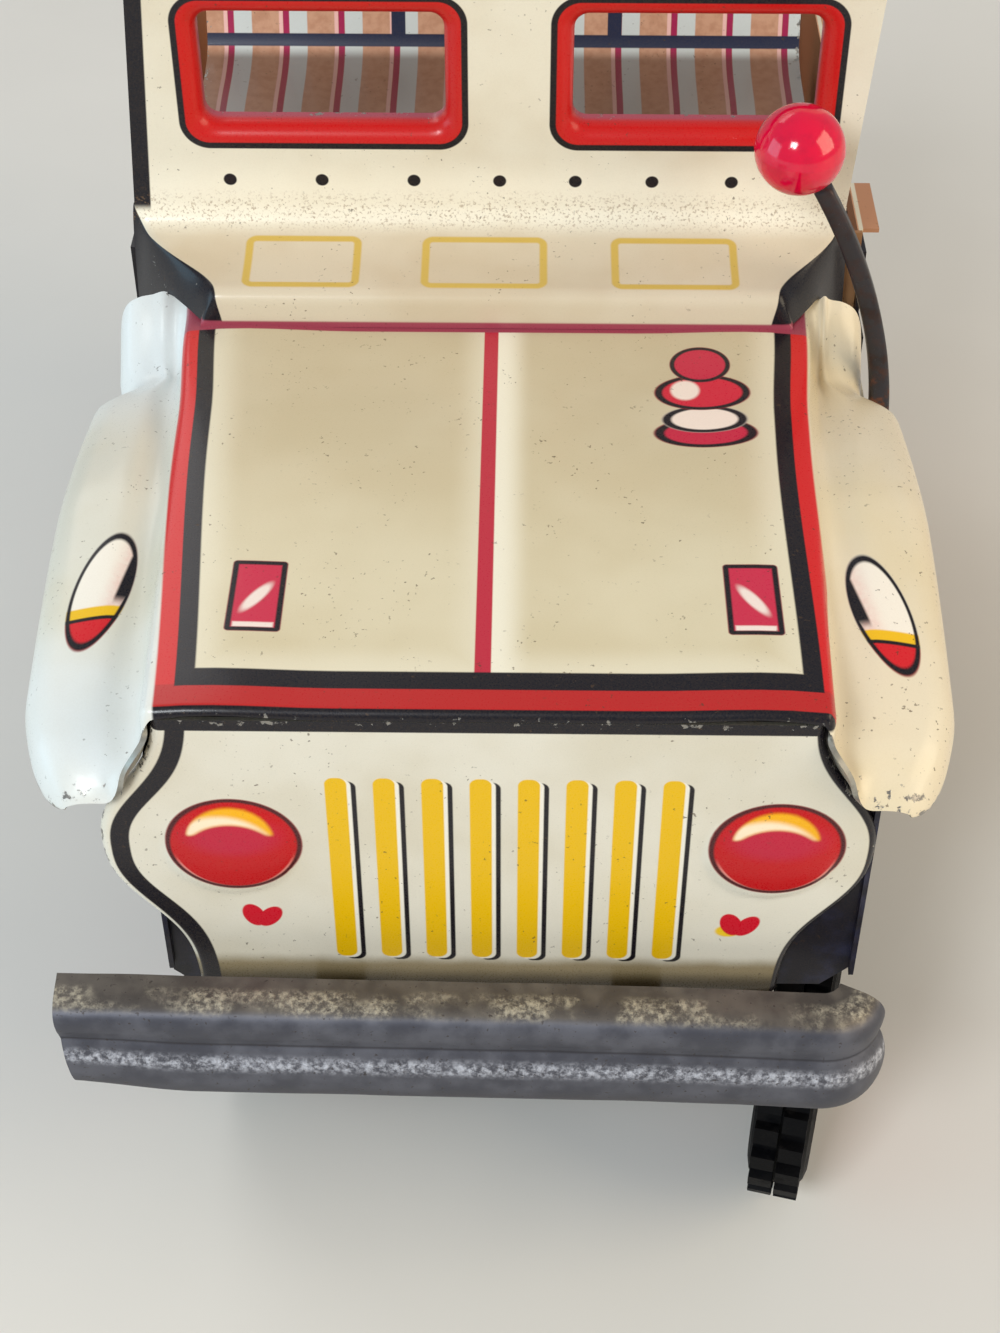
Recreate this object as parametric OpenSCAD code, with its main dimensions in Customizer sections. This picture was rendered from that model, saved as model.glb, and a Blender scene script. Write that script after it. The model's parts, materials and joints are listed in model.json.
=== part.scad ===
/* [Body shell] */
// Height of the hood above the ground
hood_h = 76; // [72:0.5:84]
// Length of the hood from the grille fold to the cowl
hood_len = 60; // [54:0.5:68]
// Width of the hood at the grille
hood_front_w = 62; // [56:0.5:66]
// Width of the hood at the cowl
hood_back_w = 66; // [60:0.5:68]
// Width over the front fenders
fender_w = 88.4; // [86:0.2:96]
// Radius of the rolled outer edge of a fender
fender_roll = 4; // [2.5:0.25:5]
// Thickness of the tin sheet
sheet = 0.5; // [0.4:0.05:0.7]
// Height of the front panel
grille_h = 39.5; // [36:0.5:40]
// Width of the front panel over its ears
ear_w = 73.4; // [68:0.2:76]
// Width of the front panel at its foot
grille_foot_w = 56; // [50:0.5:60]
// Diameter of a lamp boss
lamp_d = 12.4; // [9:0.2:14]
// Distance between the lamp centres
lamp_gap = 51.3; // [44:0.1:54]
// Sideways drift of the printing and punching on the front and the windscreen
print_shift = 1.2; // [0:0.1:2]
// Width of the right apron's front edge beside the foot
apron_fold = 3.8; // [3:0.1:7]

/* [Cowl and windscreen] */
// Distance from the hood's back edge to the windscreen
cowl_len = 13; // [11:0.5:18]
// Height of the cowl shelf above the hood
cowl_rise = 4; // [2:0.25:6]
// Width of the windscreen
screen_w = 79; // [74:0.5:80]
// Height of the windscreen's top above the hood
screen_top = 38; // [36:0.5:48]
// Width of one window
window_w = 30; // [24:0.5:31]
// Height of one window
window_h = 16.6; // [12:0.2:18]
// Corner radius of a window
window_r = 2.6; // [1:0.2:5]
// Width of the post between the windows
window_post = 9.9; // [7:0.1:12]
// Height of the window's lower edge above the hood
window_sill = 15.5; // [13:0.25:18]
// Depth of the lip turned in round a window
window_lip = 3.5; // [1:0.25:4]

/* [Tub] */
// Length of the tub from the windscreen to the rear panel
tub_len = 80; // [76:0.5:100]
// Width over the tub sides
tub_w = 83; // [82.6:0.2:84]
// Width of the edge turned out along the tub's top
tub_edge = 2; // [1:0.25:2.5]
// Height of the floor above the ground
floor_h = 54; // [53:0.25:57]
// Height of the tub's lower edge above the ground
sill_h = 30.5; // [28:0.25:33]
// Height of the door opening's lower edge below the hood
door_drop = 14; // [8:0.5:18]
// Width of the seat
seat_w = 76; // [60:0.5:78]
// Height of the seat's back above the cushion
seat_back_h = 22; // [16:0.5:28]

/* [Bumper] */
// Reach of the bumper ahead of the grille
bumper_reach = 10.5; // [9:0.25:14]
// Length of the bumper's straight run
bumper_len = 75; // [66:0.5:80]
// Height of the bumper
bumper_h = 12; // [10:0.25:14]
// Height of the bumper's top below the hood
bumper_drop = 32; // [29:0.25:32.5]
// Radius of the curl at the bumper's end
bumper_curl = 7.5; // [6:0.25:9]

/* [Wheels] */
// Outer radius of a tyre
wheel_r = 17; // [15.5:0.25:18]
// Width of a tyre
tyre_w = 6.5; // [5:0.25:7]
// Radius of the wheel disc inside the tyre
rim_r = 11.5; // [9:0.25:13]
// Depth of the tread
tread = 1.2; // [0.6:0.1:2]
// Number of tread blocks round a tyre
tread_blocks = 26; // [16:1:36]
// Distance between the middles of the rear tyres
track = 68; // [67:0.5:70]
// Distance between the middles of the front tyres
front_track = 63; // [62:0.5:64]
// Distance between the axles
wheelbase = 98; // [94:0.5:108]
// Distance of the front axle behind the grille
front_axle_back = 17.6; // [16:0.2:20]
// Diameter of the axles
axle_d = 2.5; // [2:0.1:3]
// Turn of the front axle as it stands, in degrees
steer_rest = -13.5; // [-16:0.5:0]
// Shift of the front wheels to the left, taken from the axle's play
axle_play = 3.5; // [0:0.1:3.5]

/* [Base plate] */
// Height of the base plate's underside above the ground
base_h = 9; // [8.5:0.1:9.5]
// Depth of the flat pan pressed down from the base plate
pan_depth = 1; // [0.8:0.1:1.5]
// Width of the flat pan
pan_w = 40; // [24:0.5:46]
// Length of the flat pan
pan_len = 40; // [24:0.5:44]
// Width of the base plate
base_w = 58; // [54:0.5:59]
// Width of the tongue under the front axle
tongue_w = 36; // [35:0.5:36.5]

/* [Motor] */
// Module of the gears
gear_module = 0.8; // [0.75:0.01:0.82]
// Teeth of the gear on the rear axle
axle_teeth = 20; // [18:1:21]
// Teeth of the pinion on the idler shaft
idler_pinion_teeth = 16; // [15:1:18]
// Teeth of the gear on the idler shaft
idler_teeth = 30; // [26:1:30]
// Teeth of the pinion on the flywheel shaft and of the lever pinion
pinion_teeth = 10; // [10:1:12]
// Radius of the flywheel
flywheel_r = 12.5; // [9:0.25:13]
// Diameter of the motor shafts
shaft_d = 2; // [1.6:0.1:2.4]
// Distance between the motor plates
plate_gap = 24; // [24:0.5:30]
// Thickness of a motor plate
plate_t = 0.8; // [0.6:0.05:1.2]

/* [Lever] */
// Diameter of the ball
ball_d = 9.4; // [7:0.2:10]
// Height of the ball's middle above the hood
ball_rise = 21.5; // [16:0.5:24]
// Distance of the ball's middle from the car's middle
ball_x = 31.2; // [29:0.2:34]
// Diameter of the lever shaft
lever_shaft_d = 2.5; // [2:0.1:3]
// Height of the lever shaft below the hood
lever_drop = 14.5; // [14:0.25:16]
// Stroke of the lever in degrees
lever_stroke = 20; // [10:1:20]
// Width of the lever bar, seen from the front
bar_w = 2.2; // [1.6:0.1:2.4]
// Depth of the lever bar, front to back
bar_depth = 2.4; // [1.8:0.1:3]

/* [Hidden] */
$fn = 64;

// Clearances: fixed seats, running bores, and sheet laid on sheet
seat_fit = 0.01;
run_fit = 0.05;
lay_gap = 0.06;
// Overlap that joins two solids of one piece
weld = 0.2;

// Places along the car, front to back
overall_len = bumper_reach + hood_len + cowl_len + tub_len + sheet;
grille_y = bumper_reach - overall_len / 2;
cowl_y = grille_y + hood_len;
screen_y = cowl_y + cowl_len;
tub_end_y = screen_y + tub_len;
front_axle_y = grille_y + front_axle_back;
rear_axle_y = front_axle_y + wheelbase;
base_start_y = grille_y + 47;

// Places up and across the car
base_top = base_h + sheet;
lip_h = sill_h - sheet - lay_gap;
tub_x = tub_w / 2;
tub_top = hood_h + 2;
apron_x = ear_w / 2 - 0.3;
return_in = grille_foot_w / 2 + 0.1;
apron_place = [-return_in - apron_fold, 0, apron_x];

// Smooth step from 0 at a to 1 at b
function smooth(a, b, t) =
    let (s = min(1, max(0, (t - a) / (b - a))))
    s * s * (3 - 2 * s);
function mix(a, b, t) = a + (b - a) * t;
function flat_list(rows) = [for (row = rows) for (p = row) p];

// Unit normal of a grid of points, rows crossed with columns
function grid_normal(p, i, j) =
    let (a = p[min(i + 1, len(p) - 1)][j] - p[max(i - 1, 0)][j])
    let (b = p[i][min(j + 1, len(p[0]) - 1)] - p[i][max(j - 1, 0)])
    let (n = cross(a, b))
    n / norm(n);

// Sheet whose outer face passes through a grid of points
module pressed_sheet(p, t) {
    rows = len(p);
    cols = len(p[0]);
    inner = [for (i = [0:rows - 1]) [for (j = [0:cols - 1]) p[i][j] - t * grid_normal(p, i, j)]];
    under = rows * cols;
    skin = [for (i = [0:rows - 2]) for (j = [0:cols - 2])
        let (a = i * cols + j, b = a + 1, c = a + cols + 1, d = a + cols)
        each [[a, b, c], [a, c, d], [under + a, under + c, under + b], [under + a, under + d, under + c]]];
    sides = [for (i = [0:rows - 2]) for (j = [0, cols - 1])
        let (a = i * cols + j, b = a + cols)
        each (j == 0 ? [[a, b, under + b], [a, under + b, under + a]]
            : [[a, under + b, b], [a, under + a, under + b]])];
    ends = [for (j = [0:cols - 2]) for (i = [0, rows - 1])
        let (a = i * cols + j, b = a + 1)
        each (i == 0 ? [[a, under + b, b], [a, under + a, under + b]]
            : [[a, b, under + b], [a, under + b, under + a]])];
    polyhedron(concat(flat_list(p), flat_list(inner)), concat(skin, sides, ends), convexity = 8);
}

// Bent strip: a line of points thickened by t on its left side
function line_normal(p, i) =
    let (a = p[min(i + 1, len(p) - 1)] - p[max(i - 1, 0)])
    [-a[1], a[0]] / norm(a);
function strip(p, t) = concat(p, [for (i = [len(p) - 1:-1:0]) p[i] + t * line_normal(p, i)]);

// Lays an outline drawn in (length, height) across the car from x
module across(x, t) {
    translate([x, 0, 0])
        rotate([90, 0, 90])
            linear_extrude(t) children();
}
// Cylinder along the car's width
module rod(x0, x1, r, place) {
    translate([x0, place[0], place[1]])
        rotate([0, 90, 0])
            cylinder(h = x1 - x0, r = r);
}
// Turns a profile in (radius, width) about an axle
module turned(x, place) {
    translate([x, place[0], place[1]])
        rotate([0, 90, 0])
            rotate_extrude() children();
}
module rounded_window(w, h, r) {
    translate([r, 0]) square([w - 2 * r, h]);
    translate([0, r]) square([w, h - 2 * r]);
    for (x = [r, w - r], y = [r, h - r]) translate([x, y]) circle(r);
}

// Fender crest: height against the hood at a distance v behind the grille
crest_top_v = hood_len * 0.55;
crest_drop = 6.8;
crest_start = 1.2;
notch_v = hood_len - 1;
hump_v = hood_len + 8;
fender_end_v = hood_len + 6.5;
function crest(v) =
    let (arch = -crest_start - crest_drop * pow(abs(v - crest_top_v) / crest_top_v, 1.5))
    mix(arch, 0.2, smooth(notch_v, hump_v, v));
// Outer edge of the fender: full width, drawn in at the cowl and a little at the tip
notch_x = tub_x - sheet - 0.1;
tip_draw = 2.2;
function edge_x(v) = mix(fender_w / 2, notch_x, smooth(hood_len - 7.5, hood_len - 1, v))
    - tip_draw * (1 - smooth(-1, 10, v));
function hood_edge(v) = mix(hood_front_w, hood_back_w, v / hood_len) / 2;

// Half section of the hood and fender: places across and heights
fender_rim = 0.8;
function half_section(v) =
    let (w = hood_edge(v), c = crest(v), x = edge_x(v), f = fender_roll)
    [[w * 0.45, 0], [w - 1.2, 0], [w - 0.2, -0.25], [w + 0.5, 0.5 * c - 0.2], [w + 1.6, c],
        [(w + x - f) / 2 + 0.8, c + 0.4], [x - f, c], [x - 0.6 * f, c - 0.1 * f],
        [x - 0.25 * f, c - 0.34 * f], [x, c - f], [x, c - f - fender_rim]];
// Front roll of each point k of the section: its radius, its lead over the grille and its lowest height
hood_roll = 1;
wall_roll = 2.5;
tip_roll = 4.5;
tip_lead = 1.2;
tip_low = crest(tip_roll) - fender_roll;
tip_slope = 0.2;
tip_inset = 3;
wall_k = 3;
function roll_radius(k) = k < wall_k ? hood_roll : k == wall_k ? wall_roll : tip_roll;
function roll_lead(k) = k < wall_k ? 0 : k == wall_k ? tip_lead / 2 : tip_lead;
function roll_low(k, h, v) = k < wall_k ? h - hood_roll : k == wall_k ? tip_low / 2
    : tip_low + tip_slope * (h - crest(v));
// Point k of the section, the front roll turned by an angle down to its lowest edge
function shell_point(v, k, side, turn) =
    let (at = turn > 0 ? roll_radius(k) * (1 - sin(turn)) : v, fall = 1 - cos(turn))
    let (s = half_section(at)[k], draw = k > wall_k + 1 ? tip_inset * fall : 0)
    [side * (s[0] - draw), grille_y + at - roll_lead(k) * fall,
        hood_h + mix(s[1], roll_low(k, s[1], at), fall)];
shell_v = [fender_end_v, hood_len + 4.5, hood_len + 2.5, hood_len + 0.5, notch_v, hood_len - 3,
    hood_len - 5, hood_len - 7.5, hood_len - 12, hood_len * 0.67, hood_len * 0.55, hood_len * 0.43,
    hood_len * 0.32, hood_len * 0.22, hood_len * 0.14, tip_roll + 0.6];
shell_turns = [22.5, 45, 67.5, 90];
half_points = len(half_section(0));
function shell_row(v, turn) = concat(
    [for (k = [half_points - 1:-1:0]) shell_point(v, k, -1, turn)],
    [for (k = [0:half_points - 1]) shell_point(v, k, 1, turn)]);

module hood_fenders() {
    rows = concat([for (v = shell_v) shell_row(v, 0)], [for (a = shell_turns) shell_row(0, a)]);
    color("ivory") pressed_sheet(rows, sheet);
}

// Front panel: half width at a depth below the hood, with the lamp ears
ear_drop = grille_h * 0.459;
ear_span = 7.6;
function panel_half(d) =
    let (base = mix(hood_front_w - 1.6, grille_foot_w, d / grille_h) / 2)
    let (ear = ear_w / 2 - mix(hood_front_w - 1.6, grille_foot_w, ear_drop / grille_h) / 2)
    base + ear * exp(-pow(abs(d - ear_drop) / ear_span, 2.6));
foot_roll = 3;
panel_flat = [for (i = [0:14]) mix(hood_roll + lay_gap, grille_h - foot_roll, i / 14)];
panel_across = [-1, -0.9, -0.6, -0.2, 0.2, 0.6, 0.9, 1];
function panel_row(d, back) = [for (s = panel_across) [s * panel_half(d), grille_y + back, hood_h - d]];
lamp_dome = 0.8;
lamp_sphere = (pow(lamp_d / 2, 2) + pow(lamp_dome, 2)) / (2 * lamp_dome);

module grille_panel() {
    rows = concat([for (d = panel_flat) panel_row(d, 0)],
        [for (a = [22.5, 45, 67.5, 90])
            panel_row(grille_h - foot_roll * (1 - sin(a)), foot_roll * (1 - cos(a)))]);
    color("ivory") {
        pressed_sheet(rows, sheet);
        for (side = [-1, 1])
            translate([side * lamp_gap / 2 + print_shift, grille_y, hood_h - ear_drop])
                rotate([90, 0, 0])
                    translate([0, 0, lamp_dome - lamp_sphere])
                        intersection() {
                            sphere(lamp_sphere);
                            translate([0, 0, lamp_sphere - lamp_dome - weld])
                                cylinder(h = 2 * lamp_dome, r = lamp_d / 2);
                        }
    }
}

// Cowl shelf: a raised flat with sloping flanks at its corners
shelf_front_half = hood_back_w / 2 - 2.5;
shelf_back_half = screen_w / 2 - 1.5;
flank_front_half = hood_back_w / 2 - 0.7;
flank_back_half = notch_x - 0.6;
flank_low = 4;
flank_turn = 0.5;
// Rows of the shelf: distance behind the hood, share of the rise, share of the way to the screen
shelf_rows = [[cowl_len - sheet / 2, 1.35, 1], [cowl_len * 0.8, 1.22, 0.8], [cowl_len * 0.5, 1.1, 0.5],
    [cowl_len * 0.25, 1.03, 0.25], [1.7, 1, 0.05], [1, 0.85, 0], [0.5, 0.45, 0], [0.3, 0, 0]];
function flank_point(row, q) =
    let (h = cowl_rise * row[1] + lay_gap)
    let (top = mix(shelf_front_half, shelf_back_half, row[2]))
    let (foot = mix(flank_front_half, flank_back_half, row[2]))
    let (low = min(h, lay_gap + 0.3 - flank_low * smooth(flank_turn, 1, row[2])))
    [mix(top, foot, q), cowl_y + row[0], hood_h + mix(h, low, q * q)];
function shelf_flat(row, s) =
    [s * mix(shelf_front_half, shelf_back_half, row[2]), cowl_y + row[0], hood_h + cowl_rise * row[1] + lay_gap];
function turn_over(p) = [-p[0], p[1], p[2]];
flank_steps = [0.33, 0.66, 1];

module windscreen_panel() {
    rows = [for (row = shelf_rows) concat(
        [for (i = [2:-1:0]) turn_over(flank_point(row, flank_steps[i]))],
        [for (s = [-1, -0.5, 0, 0.5, 1]) shelf_flat(row, s)],
        [for (q = flank_steps) flank_point(row, q)])];
    foot_z = hood_h + cowl_rise * shelf_rows[0][1] - sheet;
    color("ivory") {
        pressed_sheet(rows, sheet);
        translate([0, screen_y, 0])
            rotate([90, 0, 0])
                difference() {
                    union() {
                        linear_extrude(sheet)
                            translate([-screen_w / 2, foot_z])
                                rounded_window(screen_w, hood_h + screen_top - foot_z, sheet);
                        translate([0, 0, -window_lip])
                            linear_extrude(window_lip + weld) window_pair(0);
                    }
                    translate([0, 0, -window_lip - 1])
                        linear_extrude(window_lip + sheet + 2) window_pair(sheet);
                }
    }
}
module window_pair(inset) {
    for (side = [-1, 1])
        translate([print_shift + side * (window_post + window_w) / 2 - window_w / 2 + inset,
            hood_h + window_sill + inset])
            rounded_window(window_w - 2 * inset, window_h - 2 * inset, window_r - inset);
}

// Dark inner side of a front wheel well, up to the fender's underside, with a front edge turned in
arch_r = wheel_r + 11;
apron_end_v = hood_len - 3;
apron_v = [for (i = [0:12]) mix(sheet + lay_gap + 0.1, apron_end_v, i / 12)];
// Underside of the fender along the apron, with the tip's front roll taken off
function apron_top(v) =
    let (roll = v < tip_roll ? tip_roll - sqrt(pow(tip_roll, 2) - pow(tip_roll - v, 2)) : 0)
    hood_h + min(crest(max(v, tip_roll)), 0) - roll - 2 * sheet - 0.3;
return_v = 1.8;
return_foot = hood_h - grille_h + 0.5;
corner_share = 0.35;
module apron_return(side) {
    out = abs(apron_place[side + 1]);
    corner = corner_share * (out - return_in);
    top = apron_top(apron_v[0]) - 0.4;
    translate([0, grille_y + return_v, 0])
        rotate([90, 0, 0])
            linear_extrude(sheet)
                polygon([for (p = [[out, top], [return_in, top], [return_in, return_foot],
                    [out - corner, return_foot], [out, return_foot + corner]])
                    [side * p[0], p[1]]]);
}
module apron(side) {
    top = [for (v = apron_v) [grille_y + v, apron_top(v)]];
    color("midnightblue") {
        across(apron_place[side + 1] - sheet / 2, sheet)
            difference() {
                polygon(concat(top, [[grille_y + apron_end_v, sill_h], [grille_y + apron_v[0], sill_h]]));
                translate([front_axle_y, wheel_r]) circle(arch_r);
            }
        apron_return(side);
    }
}
module apron_left() { apron(1); }
module apron_right() { apron(-1); }

// Tub side: cowl post, door opening, rear quarter and wheel arch
side_start_y = cowl_y - 3.5;
side_front_top = hood_h - 10.5;
post_y = screen_y - 5;
edge_y = screen_y + 5;
door_y = screen_y + 15;
door_end_y = screen_y + 42;
slope = 6;
rear_arch_r = wheel_r + 4;
module side_outline() {
    difference() {
        polygon([[side_start_y, sill_h], [side_start_y, side_front_top], [post_y, side_front_top],
            [post_y, hood_h - flank_low - 2], [screen_y + lay_gap, hood_h - flank_low - 2],
            [screen_y + lay_gap, tub_top],
            [door_y, tub_top], [door_y + slope, hood_h - door_drop],
            [door_end_y - slope, hood_h - door_drop], [door_end_y, tub_top],
            [tub_end_y, tub_top], [tub_end_y, sill_h]]);
        translate([rear_axle_y, wheel_r]) circle(rear_arch_r);
        translate(lever_place) circle(lever_shaft_d / 2 + run_fit);
    }
}
module side_edge(from_y, to_y, z) {
    translate([-weld, from_y, z - sheet]) cube([tub_edge + weld, to_y - from_y, sheet]);
}
module side_panel() {
    color("ivory") {
        across(tub_x - sheet, sheet) side_outline();
        translate([tub_x, 0, 0]) {
            side_edge(door_y + slope, door_end_y - slope, hood_h - door_drop);
            side_edge(door_end_y, tub_end_y, tub_top);
        }
    }
}
module side_panel_left() {
    color("ivory") {
        side_panel();
        translate([tub_x, 0, 0]) side_edge(edge_y, door_y, tub_top);
    }
}
module side_panel_right() {
    color("ivory") mirror([1, 0, 0]) side_panel();
}

module rear_panel() {
    color("ivory")
        translate([-tub_x, tub_end_y + lay_gap / 2, sill_h])
            cube([tub_w, sheet - lay_gap / 2, tub_top - sill_h]);
}

// Floor: scuttle, sloping toe board and flat floor in one bent sheet
toe_y = screen_y + 15;
toe_top = floor_h + 7.5;
floor_half = tub_x - sheet - lay_gap;
module floor_pan() {
    line = [[tub_end_y - lay_gap, floor_h], [toe_y, floor_h], [screen_y + 0.9, toe_top],
        [screen_y + 0.9, hood_h + cowl_rise]];
    color("tan") across(-floor_half, 2 * floor_half) polygon(strip(line, -sheet));
}

// Bench seat: front apron, cushion, back and rear fall in one bent sheet
seat_y = screen_y + 27;
seat_front_z = hood_h - 1;
seat_rear_z = hood_h + 1.5;
seat_depth = 21;
back_lean = 4;
back_thick = 5;
bend = 2;
function arc_points(c, r, a0, a1, n) = [for (i = [0:n]) c + r * [cos(mix(a0, a1, i / n)), sin(mix(a0, a1, i / n))]];
module seat() {
    foot = floor_h + sheet + lay_gap;
    back_y = seat_y + seat_depth;
    top_z = seat_rear_z + seat_back_h;
    line = concat([[seat_y, foot]],
        arc_points([seat_y + bend, seat_front_z - bend], bend, 180, 95, 5),
        [[back_y - bend, seat_rear_z - 0.2], [back_y, seat_rear_z + 1]],
        arc_points([back_y + back_lean + back_thick / 2, top_z - back_thick / 2], back_thick / 2, 170, 0, 8),
        [[back_y + back_lean + back_thick, foot]]);
    color("sandybrown") across(-seat_w / 2, seat_w) polygon(strip(line, -sheet));
}

// Base plate: tongue, tray with a flat pan, side walls, out-turned lip and front wall
pan_y = base_start_y + 4;
front_wall_y = grille_y + foot_roll + sheet + lay_gap;
wall_top = hood_h - grille_h;
wall_foot = wall_top - 9;
tongue_y = grille_y + front_axle_back / 2;
tray_end_y = tub_end_y - 4;
lip_out = tub_x - lay_gap;
lip_front_y = grille_y + hood_len - 16;
wheel_bay = wheel_r + 3;
wheel_gap = 1.74;
bay_x = (track - tyre_w) / 2 - wheel_gap;
module base_plate() {
    gear_tip = gear_r(axle_teeth) + gear_module;
    color("darkslategray") difference() {
        union() {
            across(-tongue_w / 2, tongue_w)
                polygon(strip([[base_start_y + weld, base_h], [tongue_y, base_h], [front_wall_y, wall_foot],
                    [front_wall_y, wall_top]], -sheet));
            translate([-base_w / 2, base_start_y, base_h])
                cube([base_w, tray_end_y - base_start_y, sheet]);
            for (side = [-1, 1]) {
                translate([side * (base_w - sheet) / 2 - sheet / 2, base_start_y, base_h])
                    cube([sheet, tray_end_y - base_start_y, lip_h - base_h + sheet]);
                translate([side * (base_w / 2 + lip_out - sheet) / 2 - (lip_out - base_w / 2 + sheet) / 2,
                    lip_front_y, lip_h])
                    cube([lip_out - base_w / 2 + sheet, tub_end_y - lip_front_y, sheet]);
            }
            translate([-base_w / 2, tray_end_y - sheet, base_h])
                cube([base_w, sheet, lip_h - base_h + sheet]);
            translate([-base_w / 2, tray_end_y - sheet, lip_h])
                cube([base_w, tub_end_y - tray_end_y + sheet, sheet]);
            translate([-pan_w / 2 - sheet, pan_y - sheet, base_h - pan_depth])
                cube([pan_w + 2 * sheet, pan_len + 2 * sheet, pan_depth + weld]);
        }
        translate([-pan_w / 2, pan_y, base_h - pan_depth + sheet])
            cube([pan_w, pan_len, pan_depth + sheet]);
        rod(-tub_w, tub_w, axle_d / 2 + run_fit, axle_place);
        translate([0, front_axle_y, 0]) cylinder(h = base_h + 2, r = rivet_r + seat_fit);
        translate([axle_gear_x - 0.7, rear_axle_y - gear_tip, base_h - 1])
            cube([gear_t + 1.4, 2 * gear_tip, 3]);
        for (side = [-1, 1])
            translate([side * (bay_x + tub_x) / 2 - (tub_x - bay_x) / 2, rear_axle_y - wheel_bay,
                base_h - pan_depth - 1])
                cube([tub_x - bay_x, 2 * wheel_bay, lip_h + pan_depth + 3 - base_h]);
    }
}

// Bumper: ribbed strip, left end straight, right end curled back
bumper_straight_x = -42.4;
bumper_end_x = bumper_straight_x + bumper_len;
curl_y = grille_y - bumper_reach + bumper_curl;
flange_w = 4;
flange_r = bumper_curl - sheet - 1 - flange_w;
flange_fall = 0.06 * bumper_h;
function bumper_line() =
    let (out = bumper_curl - sheet, h = bumper_h)
    [[flange_r, 0], [flange_r + flange_w, -flange_fall], [out - 0.3, -0.16 * h], [out - 0.3, -0.27 * h],
        [out - 1.2, -0.38 * h], [out - 0.4, -0.5 * h], [out, -0.64 * h], [out - 0.2, -0.8 * h],
        [out - 1, -0.93 * h], [out - 2.4, -h]];
module bumper_profile() {
    polygon(strip(bumper_line(), sheet));
}
bumper_top = hood_h - bumper_drop;
module front_bumper() {
    color("slategray") {
        translate([bumper_straight_x, curl_y, bumper_top])
            rotate([90, 0, 90])
                linear_extrude(bumper_len + weld) mirror([1, 0]) bumper_profile();
        translate([bumper_end_x, curl_y, bumper_top])
            rotate([0, 0, -90])
                rotate_extrude(angle = 72) bumper_profile();
    }
}

// Straps from the bumper's top flange to the base plate's front wall
stay_x = 15;
stay_w = 5;
function under_flange(share) =
    [curl_y - flange_r - share * flange_w, bumper_top - share * flange_fall - lay_gap];
module bumper_stays() {
    back = front_wall_y - lay_gap;
    color("slategray")
        for (side = [-1, 1])
            across(side * stay_x - stay_w / 2, stay_w)
                polygon(strip([[back, wall_top - 6], [back, wall_top - 2.2], [back - 3.2, wall_top - 2.2],
                    under_flange(0.1), under_flange(0.85)], sheet));
}

// Gear outline: involute flanks with a little backlash
pressure = 25;
backlash = 0.06;
function gear_r(n) = gear_module * n / 2;
function inv(a) = tan(a) - a * PI / 180;
function half_tooth(r, base, pitch_r) =
    let (at_pitch = (PI * gear_module / 4 - backlash) / pitch_r * 180 / PI)
    let (a = acos(min(1, base / max(r, base))))
    at_pitch + (inv(pressure) - inv(a)) * 180 / PI;
function polar(r, a) = r * [cos(a), sin(a)];
function tooth(pitch_r, mid) =
    let (base = pitch_r * cos(pressure), root = pitch_r - 0.95 * gear_module, tip = pitch_r + 0.7 * gear_module)
    let (low = max(base, root) + 0.02)
    let (radii = [root, low, mix(low, tip, 0.35), mix(low, tip, 0.7), tip])
    concat([for (r = radii) polar(r, mid - half_tooth(r, base, pitch_r))],
        [for (i = [4:-1:0]) polar(radii[i], mid + half_tooth(radii[i], base, pitch_r))]);
module gear(n, phase, t, bore) {
    linear_extrude(t) difference() {
        polygon([for (k = [0:n - 1]) each tooth(gear_r(n), phase + 360 * k / n)]);
        circle(bore);
    }
}
// Sets a gear drawn in (length, height) at its shaft
module on_shaft(x, place) {
    translate([x, place[0], place[1]]) rotate([90, 0, 90]) children();
}
function bearing(a, b) = atan2(b[1] - a[1], b[0] - a[0]);

// Shaft places in (length, height)
axle_place = [rear_axle_y, wheel_r];
idler_place = axle_place + polar(gear_r(axle_teeth) + gear_r(idler_pinion_teeth), 127);
flywheel_place = idler_place + polar(gear_r(idler_teeth) + gear_r(pinion_teeth), 172);
lever_place = [cowl_y + 1.5, hood_h - lever_drop];
sector_r = norm(flywheel_place - lever_place) - gear_r(pinion_teeth);

// Places of the gears across the motor
gear_t = 2.5;
plate_x = plate_gap / 2;
flywheel_t = 4.2;
flywheel_x = -plate_x + 0.8;
axle_gear_x = flywheel_x + flywheel_t + 1;
idler_gear_x = axle_gear_x + gear_t + 5;
sector_x = idler_gear_x + gear_t + 2;

module rear_axle() {
    color("silver") rod(-track / 2 - tyre_w / 2 - 1, track / 2 + tyre_w / 2 + 1, axle_d / 2, axle_place);
}
module axle_gear() {
    color("goldenrod") on_shaft(axle_gear_x, axle_place)
        gear(axle_teeth, bearing(axle_place, idler_place), gear_t, axle_d / 2 + seat_fit);
}
module motor_shaft(place) {
    rod(-plate_x - plate_t, plate_x + plate_t, shaft_d / 2, place);
}
module idler_shaft() {
    color("silver") motor_shaft(idler_place);
}
module idler_pinion() {
    color("goldenrod") on_shaft(axle_gear_x, idler_place)
        gear(idler_pinion_teeth, bearing(idler_place, axle_place) + 180 / idler_pinion_teeth, gear_t,
            shaft_d / 2 + seat_fit);
}
module idler_gear() {
    color("goldenrod") on_shaft(idler_gear_x, idler_place)
        gear(idler_teeth, bearing(idler_place, flywheel_place), gear_t, shaft_d / 2 + seat_fit);
}
module flywheel_shaft() {
    color("silver") motor_shaft(flywheel_place);
}
module flywheel_pinion() {
    color("goldenrod") on_shaft(idler_gear_x, flywheel_place)
        gear(pinion_teeth, bearing(flywheel_place, idler_place) + 180 / pinion_teeth, gear_t,
            shaft_d / 2 + seat_fit);
}
module flywheel() {
    color("dimgray") turned(flywheel_x, flywheel_place)
        polygon([[shaft_d / 2 + seat_fit, 0], [flywheel_r - 0.5, 0], [flywheel_r, 0.5],
            [flywheel_r, flywheel_t - 0.5], [flywheel_r - 0.5, flywheel_t], [shaft_d / 2 + seat_fit, flywheel_t]]);
}
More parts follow.
